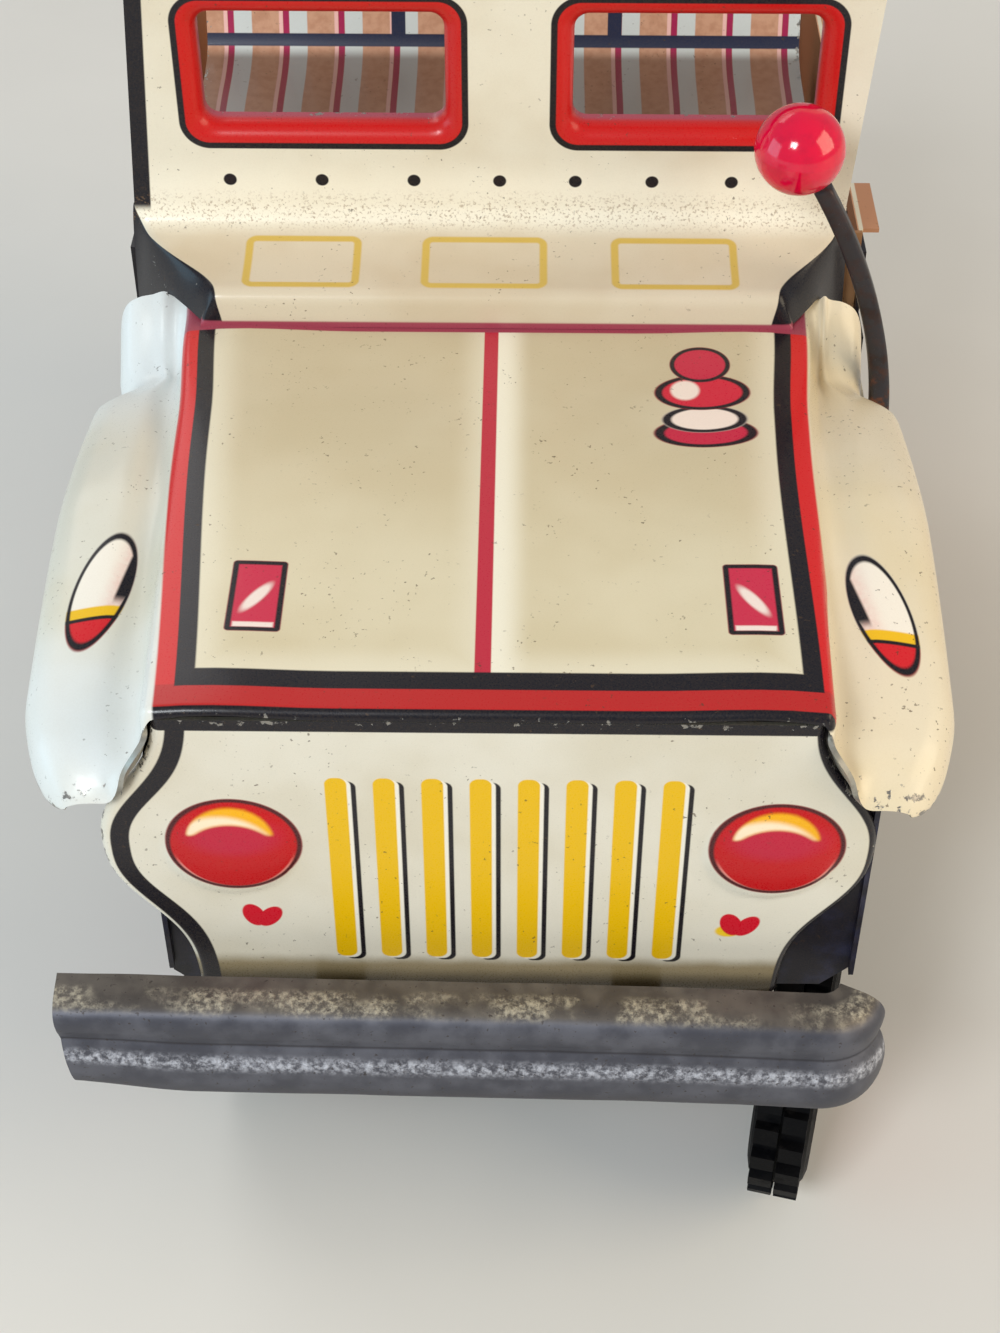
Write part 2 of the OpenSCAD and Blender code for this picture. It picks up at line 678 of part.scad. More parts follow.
module lever_pinion() {
    color("goldenrod") on_shaft(sector_x, flywheel_place)
        gear(pinion_teeth, bearing(flywheel_place, lever_place) + 180 / pinion_teeth, gear_t,
            shaft_d / 2 + run_fit);
}

// Motor frame plates with bearing bores
plate_end_y = rear_axle_y + gear_r(axle_teeth) + 6;
pillar_r = 1.5;
module motor_plate(x) {
    outline = [[lever_place[0] - 4.5, lever_place[1] - 4], [lever_place[0] - 4.5, lever_place[1] + 4.5],
        [lever_place[0] + 4.5, lever_place[1] + 4.5], [screen_y - 0.5, toe_top - 1.2],
        [toe_y - 0.6, floor_h - lay_gap], [plate_end_y, floor_h - lay_gap],
        [plate_end_y, base_top + lay_gap], [pan_y + pan_len + 2, base_top + lay_gap],
        [pan_y + 8, base_top + 7]];
    color("lightsteelblue") across(x, plate_t) difference() {
        polygon(outline);
        translate(axle_place) circle(axle_d / 2 + run_fit);
        for (place = [idler_place, flywheel_place]) translate(place) circle(shaft_d / 2 + run_fit);
        translate(lever_place) circle(lever_shaft_d / 2 + run_fit);
    }
}
module motor_plate_left() { motor_plate(plate_x); }
module motor_plate_right() { motor_plate(-plate_x - plate_t); }
pillar_places = [[plate_end_y - 2.5, base_top + 3], [plate_end_y - 2.5, floor_h - 3.5],
    [rear_axle_y - 6, floor_h - 3.5], [pan_y + 14, base_top + 13]];
module motor_pillars() {
    color("silver") for (place = pillar_places) rod(-plate_x, plate_x, pillar_r, place);
}

// Lever, its shaft, toothed sector and return spring
arm_x = tub_x + bar_w / 2 + 0.6;
module lever_shaft() {
    color("silver") rod(-plate_x - plate_t, arm_x + bar_w / 2, lever_shaft_d / 2, lever_place);
}
sector_pitch = gear_module * 180 / sector_r;
sector_spare = 6;
hub_r = 4;
flank_low_angle = 60;
flank_high_angle = 20;
module sector_gear() {
    contact = bearing(lever_place, flywheel_place);
    first = -ceil((lever_stroke + sector_spare) / sector_pitch);
    last = ceil(sector_spare / sector_pitch);
    color("goldenrod") on_shaft(sector_x, lever_place)
        linear_extrude(gear_t) difference() {
            union() {
                polygon(concat([polar(hub_r, contact + first * sector_pitch - flank_low_angle)],
                    [for (k = [first:last]) each tooth(sector_r, contact + k * sector_pitch)],
                    [polar(hub_r, contact + last * sector_pitch + flank_high_angle)]));
                circle(hub_r);
            }
            circle(lever_shaft_d / 2 + seat_fit);
        }
}
// Middle of the lever bar at a height against the hood: straight, then curving inwards
bend_h = -15;
bar_curve = (arm_x - ball_x) / pow(ball_rise - bend_h, 2);
function bar_x(h) = arm_x - bar_curve * pow(max(0, h - bend_h), 2);
bar_top = ball_rise - ball_d / 2 + 0.6;
bar_h = [for (i = [0:12]) mix(-lever_drop, bar_top, i / 12)];
module lever_arm() {
    ring = [[-1, -1], [1, -1], [1, 1], [-1, 1]];
    points = [for (h = bar_h) for (c = ring)
        [bar_x(h) + c[0] * bar_w / 2, lever_place[0] + c[1] * bar_depth / 2, hood_h + h]];
    last = 4 * (len(bar_h) - 1);
    walls = [for (i = [0:len(bar_h) - 2]) for (k = [0:3])
        let (a = 4 * i + k, b = 4 * i + (k + 1) % 4)
        each [[a, a + 4, b + 4], [a, b + 4, b]]];
    ends = [[0, 1, 2], [0, 2, 3], [last, last + 2, last + 1], [last, last + 3, last + 2]];
    color("dimgray") difference() {
        union() {
            polyhedron(points, concat(walls, ends));
            rod(arm_x - bar_w / 2, arm_x + bar_w / 2, 2.6, lever_place);
        }
        rod(arm_x - bar_w, arm_x + bar_w, lever_shaft_d / 2 + seat_fit, lever_place);
    }
}
module lever_knob() {
    color("crimson")
        difference() {
            translate([ball_x, lever_place[0], hood_h + ball_rise]) sphere(ball_d / 2);
            translate([ball_x - ball_d, lever_place[0] - bar_depth, hood_h + bar_top - ball_d + lay_gap])
                cube([2 * ball_d, 2 * bar_depth, ball_d]);
        }
}
wire_d = 0.7;
coil_r = lever_shaft_d / 2 + 0.4 + wire_d / 2;
coil_turns = 6;
coil_pitch = 1.4;
coil_start = plate_x + plate_t + 0.2 + wire_d / 2;
coil_ring = 8;
wire_sides = 6;
function coil_mid(i) = [coil_start + coil_pitch * i / coil_ring,
    lever_place[0] + coil_r * cos(360 * i / coil_ring), lever_place[1] + coil_r * sin(360 * i / coil_ring)];
module return_spring() {
    n = coil_turns * coil_ring;
    points = [for (i = [0:n]) for (k = [0:wire_sides - 1])
        let (turn = 360 * i / coil_ring, a = 360 * k / wire_sides, out = [0, cos(turn), sin(turn)])
        coil_mid(i) + wire_d / 2 * (cos(a) * out + sin(a) * [1, 0, 0])];
    walls = [for (i = [0:n - 1]) for (k = [0:wire_sides - 1])
        let (a = wire_sides * i + k, b = wire_sides * i + (k + 1) % wire_sides, up = wire_sides)
        each [[a, b, b + up], [a, b + up, a + up]]];
    ends = [for (k = [1:wire_sides - 2]) each [[0, k + 1, k],
        [wire_sides * n, wire_sides * n + k, wire_sides * n + k + 1]]];
    color("silver") polyhedron(points, concat(walls, ends));
    least_gap = min([for (i = [0:n - coil_ring]) norm(coil_mid(i + coil_ring) - coil_mid(i))]) - wire_d;
    echo(least_spring_gap = least_gap);
}

// Wheels: pressed disc, treaded tyre and a cap on the axle's end
module disc(x, place, bore) {
    w = tyre_w * 0.42;
    turned(x, place)
        polygon([[bore, -w], [3, -w], [3, -0.3], [rim_r - 0.8, 0.3], [rim_r - 0.8, -w], [rim_r, -w], [rim_r, w],
            [rim_r - 0.8, w], [rim_r - 0.8, 1.1], [3, 0.5], [3, w], [bore, w]]);
}
module tread_ring(x, place, w, phase) {
    step = 360 / tread_blocks;
    low = wheel_r - tread;
    on_shaft(x, place) linear_extrude(w) difference() {
        polygon([for (k = [0:tread_blocks - 1]) each [polar(low, phase + (k - 0.3) * step),
            polar(wheel_r, phase + (k - 0.25) * step), polar(wheel_r, phase + (k + 0.25) * step),
            polar(low, phase + (k + 0.3) * step)]]);
        circle(low - 1.2);
    }
}
module tyre(x, place) {
    low = wheel_r - tread;
    half = tyre_w / 2;
    inner = rim_r + seat_fit;
    turned(x, place)
        polygon([[inner, -half + 0.9], [inner + 1, -half + 0.1], [inner + 2, -half], [low - 1.2, -half + 0.3],
            [low - 0.3, -half + 1], [low - 0.3, half - 1], [low - 1.2, half - 0.3], [inner + 2, half],
            [inner + 1, half - 0.1], [inner, half - 0.9]]);
    tread_ring(x - half + 0.6, place, half - 0.75, 0);
    tread_ring(x + 0.15, place, half - 0.75, 180 / tread_blocks);
}
module cap(x, place, side) {
    far = max(x, x + side * 1.6);
    near = min(x, x + side * 1.6);
    difference() {
        rod(near, far, 2.6, place);
        rod(near - 1, far + 1, axle_d / 2 + seat_fit, place);
    }
}
cap_x = track / 2 + tyre_w * 0.42 + lay_gap;
module rear_wheel_left() {
    color("crimson") disc(track / 2, axle_place, axle_d / 2 + seat_fit);
}
module rear_wheel_right() {
    color("crimson") disc(-track / 2, axle_place, axle_d / 2 + seat_fit);
}
module rear_tyre_left() {
    color("black") tyre(track / 2, axle_place);
}
module rear_tyre_right() {
    color("black") tyre(-track / 2, axle_place);
}
module rear_caps() {
    color("silver") for (side = [-1, 1]) cap(side * cap_x, axle_place, side);
}

// Front axle on a plate that turns about a rivet
module steered() {
    translate([0, front_axle_y, 0]) rotate([0, 0, steer_rest]) children();
}
front_place = [0, wheel_r];
front_cap_x = front_track / 2 + tyre_w * 0.42 + lay_gap;
ear_x = 15;
plate_half = 3;
rivet_r = 1.5;
rivet_head_r = 2.8;
module swivel_plate() {
    z = base_top + lay_gap;
    color("silver") steered() difference() {
        union() {
            translate([-ear_x - sheet, -plate_half, z]) cube([2 * (ear_x + sheet), 2 * plate_half, sheet]);
            for (side = [-1, 1])
                translate([side * (ear_x + sheet / 2) - sheet / 2, -plate_half / 2, z])
                    cube([sheet, plate_half, wheel_r + 3 - z]);
        }
        rod(-track, track, axle_d / 2 + seat_fit, front_place);
        cylinder(h = 4 * base_h, r = rivet_r + run_fit);
    }
}
module swivel_rivet() {
    top = base_top + lay_gap + sheet + lay_gap;
    color("silver") translate([0, front_axle_y, 0]) {
        translate([0, 0, base_h - 0.7]) cylinder(h = top - base_h + 1.4, r = rivet_r);
        translate([0, 0, base_h - 0.7]) cylinder(h = 0.7, r = rivet_head_r);
        translate([0, 0, top]) cylinder(h = 0.7, r = rivet_head_r);
    }
}
module front_axle() {
    half = front_track / 2 + tyre_w / 2 + 1;
    color("silver") steered() rod(axle_play - half, axle_play + half, axle_d / 2, front_place);
}
module front_wheel_left() {
    color("crimson") steered() disc(axle_play + front_track / 2, front_place, axle_d / 2 + run_fit);
}
module front_wheel_right() {
    color("crimson") steered() disc(axle_play - front_track / 2, front_place, axle_d / 2 + run_fit);
}
module front_tyre_left() {
    color("black") steered() tyre(axle_play + front_track / 2, front_place);
}
module front_tyre_right() {
    color("black") steered() tyre(axle_play - front_track / 2, front_place);
}
module front_cap_left() {
    color("silver") steered() cap(axle_play + front_cap_x, front_place, 1);
}
module front_cap_right() {
    color("silver") steered() cap(axle_play - front_cap_x, front_place, -1);
}

hood_fenders();
grille_panel();
windscreen_panel();
apron_left();
apron_right();
side_panel_left();
side_panel_right();
rear_panel();
floor_pan();
seat();
base_plate();
front_bumper();
bumper_stays();
motor_plate_left();
motor_plate_right();
motor_pillars();
rear_axle();
axle_gear();
rear_wheel_left();
rear_wheel_right();
rear_tyre_left();
rear_tyre_right();
rear_caps();
idler_shaft();
idler_pinion();
idler_gear();
flywheel_shaft();
flywheel_pinion();
flywheel();
lever_pinion();
lever_shaft();
sector_gear();
lever_arm();
lever_knob();
return_spring();
swivel_plate();
swivel_rivet();
front_axle();
front_wheel_left();
front_wheel_right();
front_tyre_left();
front_tyre_right();
front_cap_left();
front_cap_right();
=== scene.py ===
import json
import math

import bmesh
import bpy
import numpy as np
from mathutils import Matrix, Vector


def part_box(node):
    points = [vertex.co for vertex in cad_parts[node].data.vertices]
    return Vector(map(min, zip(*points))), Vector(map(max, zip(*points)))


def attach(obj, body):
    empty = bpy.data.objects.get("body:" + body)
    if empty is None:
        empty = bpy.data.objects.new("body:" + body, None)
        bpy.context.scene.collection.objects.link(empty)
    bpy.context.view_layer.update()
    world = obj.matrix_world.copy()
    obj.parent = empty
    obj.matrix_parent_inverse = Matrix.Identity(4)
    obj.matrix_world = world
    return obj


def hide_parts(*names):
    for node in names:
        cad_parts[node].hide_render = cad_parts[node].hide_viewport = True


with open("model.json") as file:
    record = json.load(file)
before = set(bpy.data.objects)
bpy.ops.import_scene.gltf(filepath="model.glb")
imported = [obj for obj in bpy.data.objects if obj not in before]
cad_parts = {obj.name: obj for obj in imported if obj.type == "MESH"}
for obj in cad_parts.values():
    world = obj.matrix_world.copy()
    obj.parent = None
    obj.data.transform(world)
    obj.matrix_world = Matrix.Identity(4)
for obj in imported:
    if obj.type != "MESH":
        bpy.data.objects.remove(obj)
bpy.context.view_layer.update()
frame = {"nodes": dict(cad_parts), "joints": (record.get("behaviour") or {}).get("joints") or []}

# View: the picture looks down on the hood from just ahead of the bumper, about 20 cm away,
# with the lens a little to the right of the car's middle and turned a shade to the left.
mm = 0.001
hood_z = 76 * mm
grille_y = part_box("front_bumper")[0].y + 10.5 * mm
picture_h_px = 1333
focal_px = 2200
look_down = 43
look_left = 0.73
lens_data = bpy.data.cameras.new("view")
lens_data.sensor_width = 36
lens_data.lens = focal_px * lens_data.sensor_width / picture_h_px
lens_data.clip_start = 0.01
view = bpy.data.objects.new("view", lens_data)
view.location = (2.95 * mm, grille_y - 140.4 * mm, hood_z + 136.8 * mm)
view.rotation_euler = (math.radians(90 - look_down), 0, math.radians(look_left))
bpy.context.scene.collection.objects.link(view)
bpy.context.scene.camera = view
bpy.context.scene.view_settings.view_transform = "Standard"


# Floor: a plain pale table top, wide enough for every view, with a matt lacquer.
# It stands for whatever the car is put on and isn't part of it.
def shell(name, *patches, closed=False, solid=False, **marks):
    """A mesh of quads over (rows, columns, 3) arrays: each point is joined to the next along its row and
    to the same place in the next row, and the outside is columns crossed with rows. closed joins the last
    column to the first. Patches that meet are merged, and a solid has its faces turned outwards. marks
    give each point of each patch a value that a finish can read. Open edges, which have one face, are sharp,
    so a sheet's shade doesn't bend towards its cut edge."""
    mesh = bpy.data.meshes.new(name)
    points = np.concatenate([patch.reshape(-1, 3) for patch in patches])
    faces = []
    start = 0
    for patch in patches:
        rows, columns = patch.shape[:2]
        place = start + np.arange(rows * columns).reshape(rows, columns)
        start += rows * columns
        if closed:
            place = np.concatenate([place, place[:, :1]], axis=1)
        quads = np.stack([place[:-1, :-1], place[:-1, 1:], place[1:, 1:], place[1:, :-1]], axis=-1)
        faces += quads.reshape(-1, 4).tolist()
    mesh.from_pydata(points.tolist(), [], faces)
    for title, values in marks.items():
        flat = [np.broadcast_to(value, patch.shape[:2]).ravel() for value, patch in zip(values, patches)]
        mesh.attributes.new(title, "FLOAT", "POINT").data.foreach_set("value", np.concatenate(flat))
    work = bmesh.new()
    work.from_mesh(mesh)
    bmesh.ops.remove_doubles(work, verts=work.verts, dist=1e-6)
    bmesh.ops.dissolve_degenerate(work, edges=work.edges, dist=1e-7)
    if solid:
        bmesh.ops.recalc_face_normals(work, faces=work.faces)
    work.to_mesh(mesh)
    work.free()
    mesh.shade_smooth()
    used_edges = np.empty(len(mesh.loops), dtype=np.int32)
    mesh.loops.foreach_get("edge_index", used_edges)
    open_edges = np.bincount(used_edges, minlength=len(mesh.edges)) == 1
    mesh.attributes.new("sharp_edge", "BOOLEAN", "EDGE").data.foreach_set("value", open_edges)
    made = bpy.data.objects.new(name, mesh)
    bpy.context.scene.collection.objects.link(made)
    return made


floor_half = 1.5
floor_side = np.linspace(-floor_half, floor_half, 3)
floor_x, floor_y = np.meshgrid(floor_side, floor_side)
floor = shell("floor", np.stack([floor_x, floor_y, 0 * floor_x], axis=-1))


def paint(red, green, blue):
    """A colour as seen on a screen, 0 to 255, turned into the light that a shader takes."""
    seen = np.array([red, green, blue]) / 255
    light = np.where(seen < 0.04045, seen / 12.92, ((seen + 0.055) / 1.055) ** 2.4)
    return (*light.tolist(), 1.0)


def feed(node, feeds):
    """Feeds a node's inputs: a feed is a value or another node's output."""
    for key, value in feeds.items():
        if isinstance(value, bpy.types.NodeSocket):
            value.id_data.links.new(value, node.inputs[key])
        else:
            node.inputs[key].default_value = value


def put(kind, feeds, settings=(), tree=None):
    """Adds a node, applies its settings and feeds its inputs. It goes into the tree that is named, or the one
    that its feeds come from."""
    if tree is None:
        tree = next(value.id_data for value in feeds.values() if isinstance(value, bpy.types.NodeSocket))
    made = tree.nodes.new(kind)
    for key, value in dict(settings).items():
        setattr(made, key, value)
    feed(made, feeds)
    return made


def calc(how, *terms):
    """One step of arithmetic on values."""
    return put("ShaderNodeMath", dict(enumerate(terms)), {"operation": how}).outputs[0]


def both(*masks):
    """Where all masks are. A number among them weakens the rest."""
    found = masks[0]
    for mask in masks[1:]:
        found = calc("MULTIPLY", found, mask)
    return found


def ease(value, low, high, start=0.0, end=1.0):
    """A soft step from start at low to end at high."""
    return put("ShaderNodeMapRange", {0: value, 1: low, 2: high, 3: start, 4: end},
               {"interpolation_type": "SMOOTHSTEP"}).outputs[0]


def fade(value, low, high):
    """A soft step from 1 at low to 0 at high."""
    return ease(value, low, high, 1.0, 0.0)


def over(under, *coats):
    """Lays colours over one another. coats are a colour, the mask that is 1 where it lies, the next colour
    and so on. Each colour is a node's output or is as seen on a screen."""
    under, *coats = [paint(*coat) if isinstance(coat, tuple) else coat for coat in (under, *coats)]
    for colour, mask in zip(coats[::2], coats[1::2]):
        under = put("ShaderNodeMix", {0: mask, 6: under, 7: colour}, {"data_type": "RGBA"}).outputs[2]
    return under


def finish(name):
    """A new material: itself, its Principled shader, and the place on the piece in millimetres: the point,
    then across, along and up."""
    made = bpy.data.materials.new(name)
    made.use_nodes = True
    spot = put("ShaderNodeTexCoord", {}, tree=made.node_tree).outputs["Object"]
    point = put("ShaderNodeVectorMath", {0: spot, "Scale": 1000.0}, {"operation": "SCALE"}).outputs[0]
    parts = put("ShaderNodeSeparateXYZ", {0: point}).outputs
    return made, made.node_tree.nodes["Principled BSDF"], point, parts[0], parts[1], parts[2]


def grain(point, scale, detail=3.0, rough=0.55):
    """Cloudy noise, from 0 to 1, with so many clouds to the millimetre."""
    return put("ShaderNodeTexNoise", {"Vector": point, "Scale": scale, "Detail": detail,
                                      "Roughness": rough}).outputs[0]


def relief(height, depth):
    """Fine relief: the height, from 0 to 1, stands so many metres proud."""
    return put("ShaderNodeBump", {"Height": height, "Distance": depth, "Strength": 1.0}).outputs[0]


floor_finish, shader, point = finish("floor_lacquer")[:3]
feed(shader, {"Base Color": over((214, 211, 205), (222, 219, 213), grain(point, 0.02)),
              "Roughness": 0.65})
floor.data.materials.append(floor_finish)

# Light: one soft lamp above and behind the viewer's left shoulder, a warm one at the right, a cool one low
# at the left, a weak one behind, and an even pale surround, as in a small photo tent.
world = bpy.data.worlds.new("surround")
world.use_nodes = True
world.node_tree.nodes["Background"].inputs["Color"].default_value = (0.93, 0.96, 1.0, 1.0)
world.node_tree.nodes["Background"].inputs["Strength"].default_value = 0.4
bpy.context.scene.world = world
car_middle = np.array([0.0, -20 * mm, 60 * mm])


def soft_lamp(name, place, side, watts, tint):
    """A square lamp that faces the car."""
    data = bpy.data.lights.new(name, "AREA")
    data.size = side
    data.energy = watts
    data.color = tint
    lamp = bpy.data.objects.new(name, data)
    lamp.location = place
    way = Vector(car_middle - np.array(place))
    lamp.rotation_euler = way.to_track_quat("-Z", "Y").to_euler()
    bpy.context.scene.collection.objects.link(lamp)


soft_lamp("key_lamp", (-0.31, -0.66, 0.64), 0.24, 4.65, (0.92, 0.97, 1.0))
soft_lamp("side_lamp", (0.75, -0.25, 0.45), 0.6, 4.8, (1.0, 0.84, 0.6))
soft_lamp("left_lamp", (-0.8, -0.2, 0.22), 0.5, 2.0, (0.5, 0.8, 1.0))
soft_lamp("back_lamp", (-0.5, 0.8, 0.8), 0.6, 2.4, (1.0, 0.98, 0.95))


# Base plate: one pressed tin sheet under the car, a tray with a flat pan, a tongue for the front axle
# and an out-turned lip that the body sits on. Lacquered blue-black and rubbed here and there.
def new_group(name, takes, gives):
    """A shader node group: its tree and what it is given. takes and gives name its sockets."""
    tree = bpy.data.node_groups.new(name, "ShaderNodeTree")
    for title in takes:
        kind = "NodeSocketVector" if title == "Point" else "NodeSocketFloat"
        tree.interface.new_socket(title, in_out="INPUT", socket_type=kind)
    for title in gives:
        tree.interface.new_socket(title, in_out="OUTPUT", socket_type="NodeSocketFloat")
    return tree, tree.nodes.new("NodeGroupInput").outputs


tin_age, given = new_group("tin_age", ("Point", "Edge", "Amount"), ("Chip", "Speck", "Mottle"))
fine = grain(given["Point"], 1.1, 5.0, 0.62)
broad = grain(given["Point"], 0.11)
loose = calc("MULTIPLY_ADD", fine, 0.6, calc("MULTIPLY", broad, 0.25))
worn = both(given["Edge"], given["Amount"], 0.4)
crowd = ease(grain(given["Point"], 0.16), 0.44, 0.62)
specks = ease(grain(given["Point"], 1.9, 2.0), 0.665, 0.72)
put("NodeGroupOutput", {
    "Chip": ease(calc("ADD", loose, worn), 0.655, 0.685),
    "Speck": both(specks, crowd),
    "Mottle": grain(given["Point"], 5.5, 2.0)})


def mark(point, title):
    """The value that a piece's mesh holds under a title, for the finish that the point is in."""
    return put("ShaderNodeAttribute", {}, {"attribute_name": title}, point.id_data).outputs["Fac"]


def painted_tin(name, draw, wear=0.8, gloss=0.3, dirt=0.7):
    """Printed and varnished tin. draw lays the colours; the print is chipped to bare metal where the
    piece's own wear attribute is high, and brown specks of dirt lie on top."""
    made, shader, point, x, y, z = finish(name)
    age = put("ShaderNodeGroup", {"Point": point, "Edge": mark(point, "wear"), "Amount": wear},
              {"node_tree": tin_age}).outputs
    shade = both(ease(age["Mottle"], 0.35, 0.7), 0.04)
    colour = over(draw(point, x, y, z), (150, 120, 80), shade, (74, 56, 40), both(age["Speck"], dirt),
                  (150, 146, 140), age["Chip"])
    dull = calc("MULTIPLY", calc("ADD", age["Mottle"], age["Speck"]), 0.18)
    height = calc("MULTIPLY_ADD", age["Chip"], -1.0, calc("MULTIPLY", age["Mottle"], 0.25))
    feed(shader, {"Base Color": colour, "Metallic": calc("MULTIPLY", age["Chip"], 0.85),
                  "Roughness": calc("ADD", dull, gloss - 0.06), "Specular IOR Level": 0.27,
                  "Coat Weight": 0.12, "Coat Roughness": 0.12, "Normal": relief(height, 0.03 * mm)})
    return made


def lacquer(first, second, scale, low, high, detail=3.0):
    """Draws one colour with clouds of a second."""
    return lambda point, x, y, z: over(first, second, ease(grain(point, scale, detail), low, high))


def dress(material, *nodes):
    """Gives CAD nodes their finish."""
    for name in nodes:
        frame["nodes"][name].data.materials.clear()
        frame["nodes"][name].data.materials.append(material)


navy_lacquer = lacquer((28, 27, 38), (48, 46, 60), 0.2, 0.4, 0.75)
dress(painted_tin("navy_lacquered_tin", navy_lacquer, 0.5, 0.34, 0.5), "base_plate")

# Motor: two steel plates held apart by pillars, with steel shafts, brass gears, a cast flywheel and a
# coil spring on the lever's shaft. All are stamped, turned or wound, left bare and lightly oiled.
bare_metal, given = new_group("bare_metal", ("Point", "Streak", "Stain"), ("Streaks", "Tarnish", "Pits"))
drawn_out = put("ShaderNodeVectorMath", {0: given["Point"], 1: (1.0, 0.12, 1.0)},
                {"operation": "MULTIPLY"}).outputs[0]
streaks = grain(drawn_out, 4.0, 4.0)
stains = grain(given["Point"], 0.35, 5.0, 0.65)
pits = ease(grain(given["Point"], 2.4, 3.0), 0.62, 0.72)
put("NodeGroupOutput", {
    "Streaks": both(streaks, given["Streak"]),
    "Tarnish": both(ease(stains, 0.42, 0.72), given["Stain"]),
    "Pits": both(pits, given["Stain"])})


def rubbed_metal(point, streak, stain):
    """The masks of bare metal: its streaks, tarnish and pits."""
    return put("ShaderNodeGroup", {"Point": point, "Streak": streak, "Stain": stain},
               {"node_tree": bare_metal}).outputs


def metal(name, bright, tarnish, rough, streak=0.6, stain=0.6, metallic=0.95):
    """Bare metal: bright where it is rubbed, tarnished in clouds, with fine streaks and small pits."""
    made, shader, point = finish(name)[:3]
    look = rubbed_metal(point, streak, stain)
    colour = over(bright, tarnish, look["Tarnish"], (40, 32, 28), both(look["Pits"], 0.5))
    spread = calc("MULTIPLY_ADD", look["Streaks"], 0.25, calc("MULTIPLY", look["Tarnish"], 0.25))
    feed(shader, {"Base Color": colour, "Roughness": calc("ADD", spread, rough - 0.1), "Metallic": metallic,
                  "Normal": relief(calc("SUBTRACT", look["Streaks"], look["Pits"]), 0.01 * mm)})
    return made


plate_steel = metal("stamped_steel", (186, 188, 190), (120, 112, 104), 0.38)
turned_steel = metal("turned_steel", (205, 206, 208), (140, 132, 124), 0.24, 0.9, 0.4)
gear_brass = metal("gear_brass", (222, 186, 104), (150, 110, 58), 0.3)
cast_iron = metal("flywheel_iron", (108, 108, 112), (70, 58, 50), 0.5, 0.3, 0.8)
dress(plate_steel, "motor_plate_left", "motor_plate_right", "swivel_plate", "sector_gear")
dress(turned_steel, "motor_pillars", "rear_axle", "front_axle", "idler_shaft", "flywheel_shaft",
      "lever_shaft", "swivel_rivet", "rear_caps", "front_cap_left", "front_cap_right", "return_spring")
dress(gear_brass, "axle_gear", "idler_pinion", "idler_gear", "flywheel_pinion", "lever_pinion")
dress(cast_iron, "flywheel")

# Wheels: pressed discs lacquered red, held on the axles by small turned caps, with moulded tyres of
# black rubber pushed over their rims. The tread blocks hold grey dust.
wheel_red = lacquer((176, 24, 28), (140, 16, 24), 0.25, 0.4, 0.7)
dress(painted_tin("red_lacquered_tin", wheel_red, 0.5, 0.28, 0.8),
      "front_wheel_left", "front_wheel_right", "rear_wheel_left", "rear_wheel_right")
tyre_rubber, shader, point = finish("tyre_rubber")[:3]
dust = ease(grain(point, 0.6, 5.0, 0.65), 0.48, 0.75)
feed(shader, {"Base Color": over((4, 4, 6), (54, 50, 47), both(dust, 0.14)),
              "Roughness": ease(dust, 0.0, 1.0, 0.55, 0.85), "Specular IOR Level": 0.1,
              "Normal": relief(grain(point, 3.0, 4.0), 0.04 * mm)})
dress(tyre_rubber, "front_tyre_left", "front_tyre_right", "rear_tyre_left", "rear_tyre_right")


# Tub: side panels with out-turned edges, a rear panel and a bent floor, all printed tin held by tabs.
# Outside they are cream with a red line low down and a thin black door line; the floor is tan inside.
patch, given = new_group("print_patch", (
    "U", "V", "Middle U", "Middle V", "Half U", "Half V", "Corner", "Line", "Blur"), ("Fill", "Outline"))


def beyond(place, middle, half, corner):
    """How far a place lies past the straight run of a rounded patch's side."""
    away = calc("ABSOLUTE", calc("SUBTRACT", place, middle))
    return calc("ADD", calc("SUBTRACT", away, half), corner)


past_u = beyond(given["U"], given["Middle U"], given["Half U"], given["Corner"])
past_v = beyond(given["V"], given["Middle V"], given["Half V"], given["Corner"])
out_u = calc("MAXIMUM", past_u, 0.0)
out_v = calc("MAXIMUM", past_v, 0.0)
out = calc("SQRT", calc("MULTIPLY_ADD", out_u, out_u, calc("MULTIPLY", out_v, out_v)))
deep = calc("MINIMUM", calc("MAXIMUM", past_u, past_v), 0.0)
border = calc("SUBTRACT", calc("ADD", out, deep), given["Corner"])


def inked(border, line, blur):
    """The masks of a printed shape, from the way out past its border: its fill and a line just inside."""
    half_line = calc("MULTIPLY", line, 0.5)
    from_line = calc("SUBTRACT", calc("ABSOLUTE", calc("ADD", border, half_line)), half_line)
    sharp = calc("MULTIPLY", blur, -1.0)
    return {"Fill": fade(border, sharp, blur), "Outline": fade(from_line, sharp, blur)}


put("NodeGroupOutput", inked(border, given["Line"], given["Blur"]))


def print_patch(u, v, middle, half, corner=0.0, line=0.0, blur=0.08):
    """A printed rounded patch, in millimetres: the masks of its fill and of a line along its border."""
    feeds = dict(enumerate((u, v, *middle, *half, corner, line, blur)))
    made = put("ShaderNodeGroup", feeds, {"node_tree": patch}).outputs
    return made["Fill"], made["Outline"]


def stripe(place, middle, half, blur=0.08):
    """The mask of a straight printed stripe."""
    return print_patch(place, 0.0, (middle, 0.0), (half, 9.0), 0.0, 0.0, blur)[0]


print_red = (208, 32, 34)
print_black = (18, 17, 26)


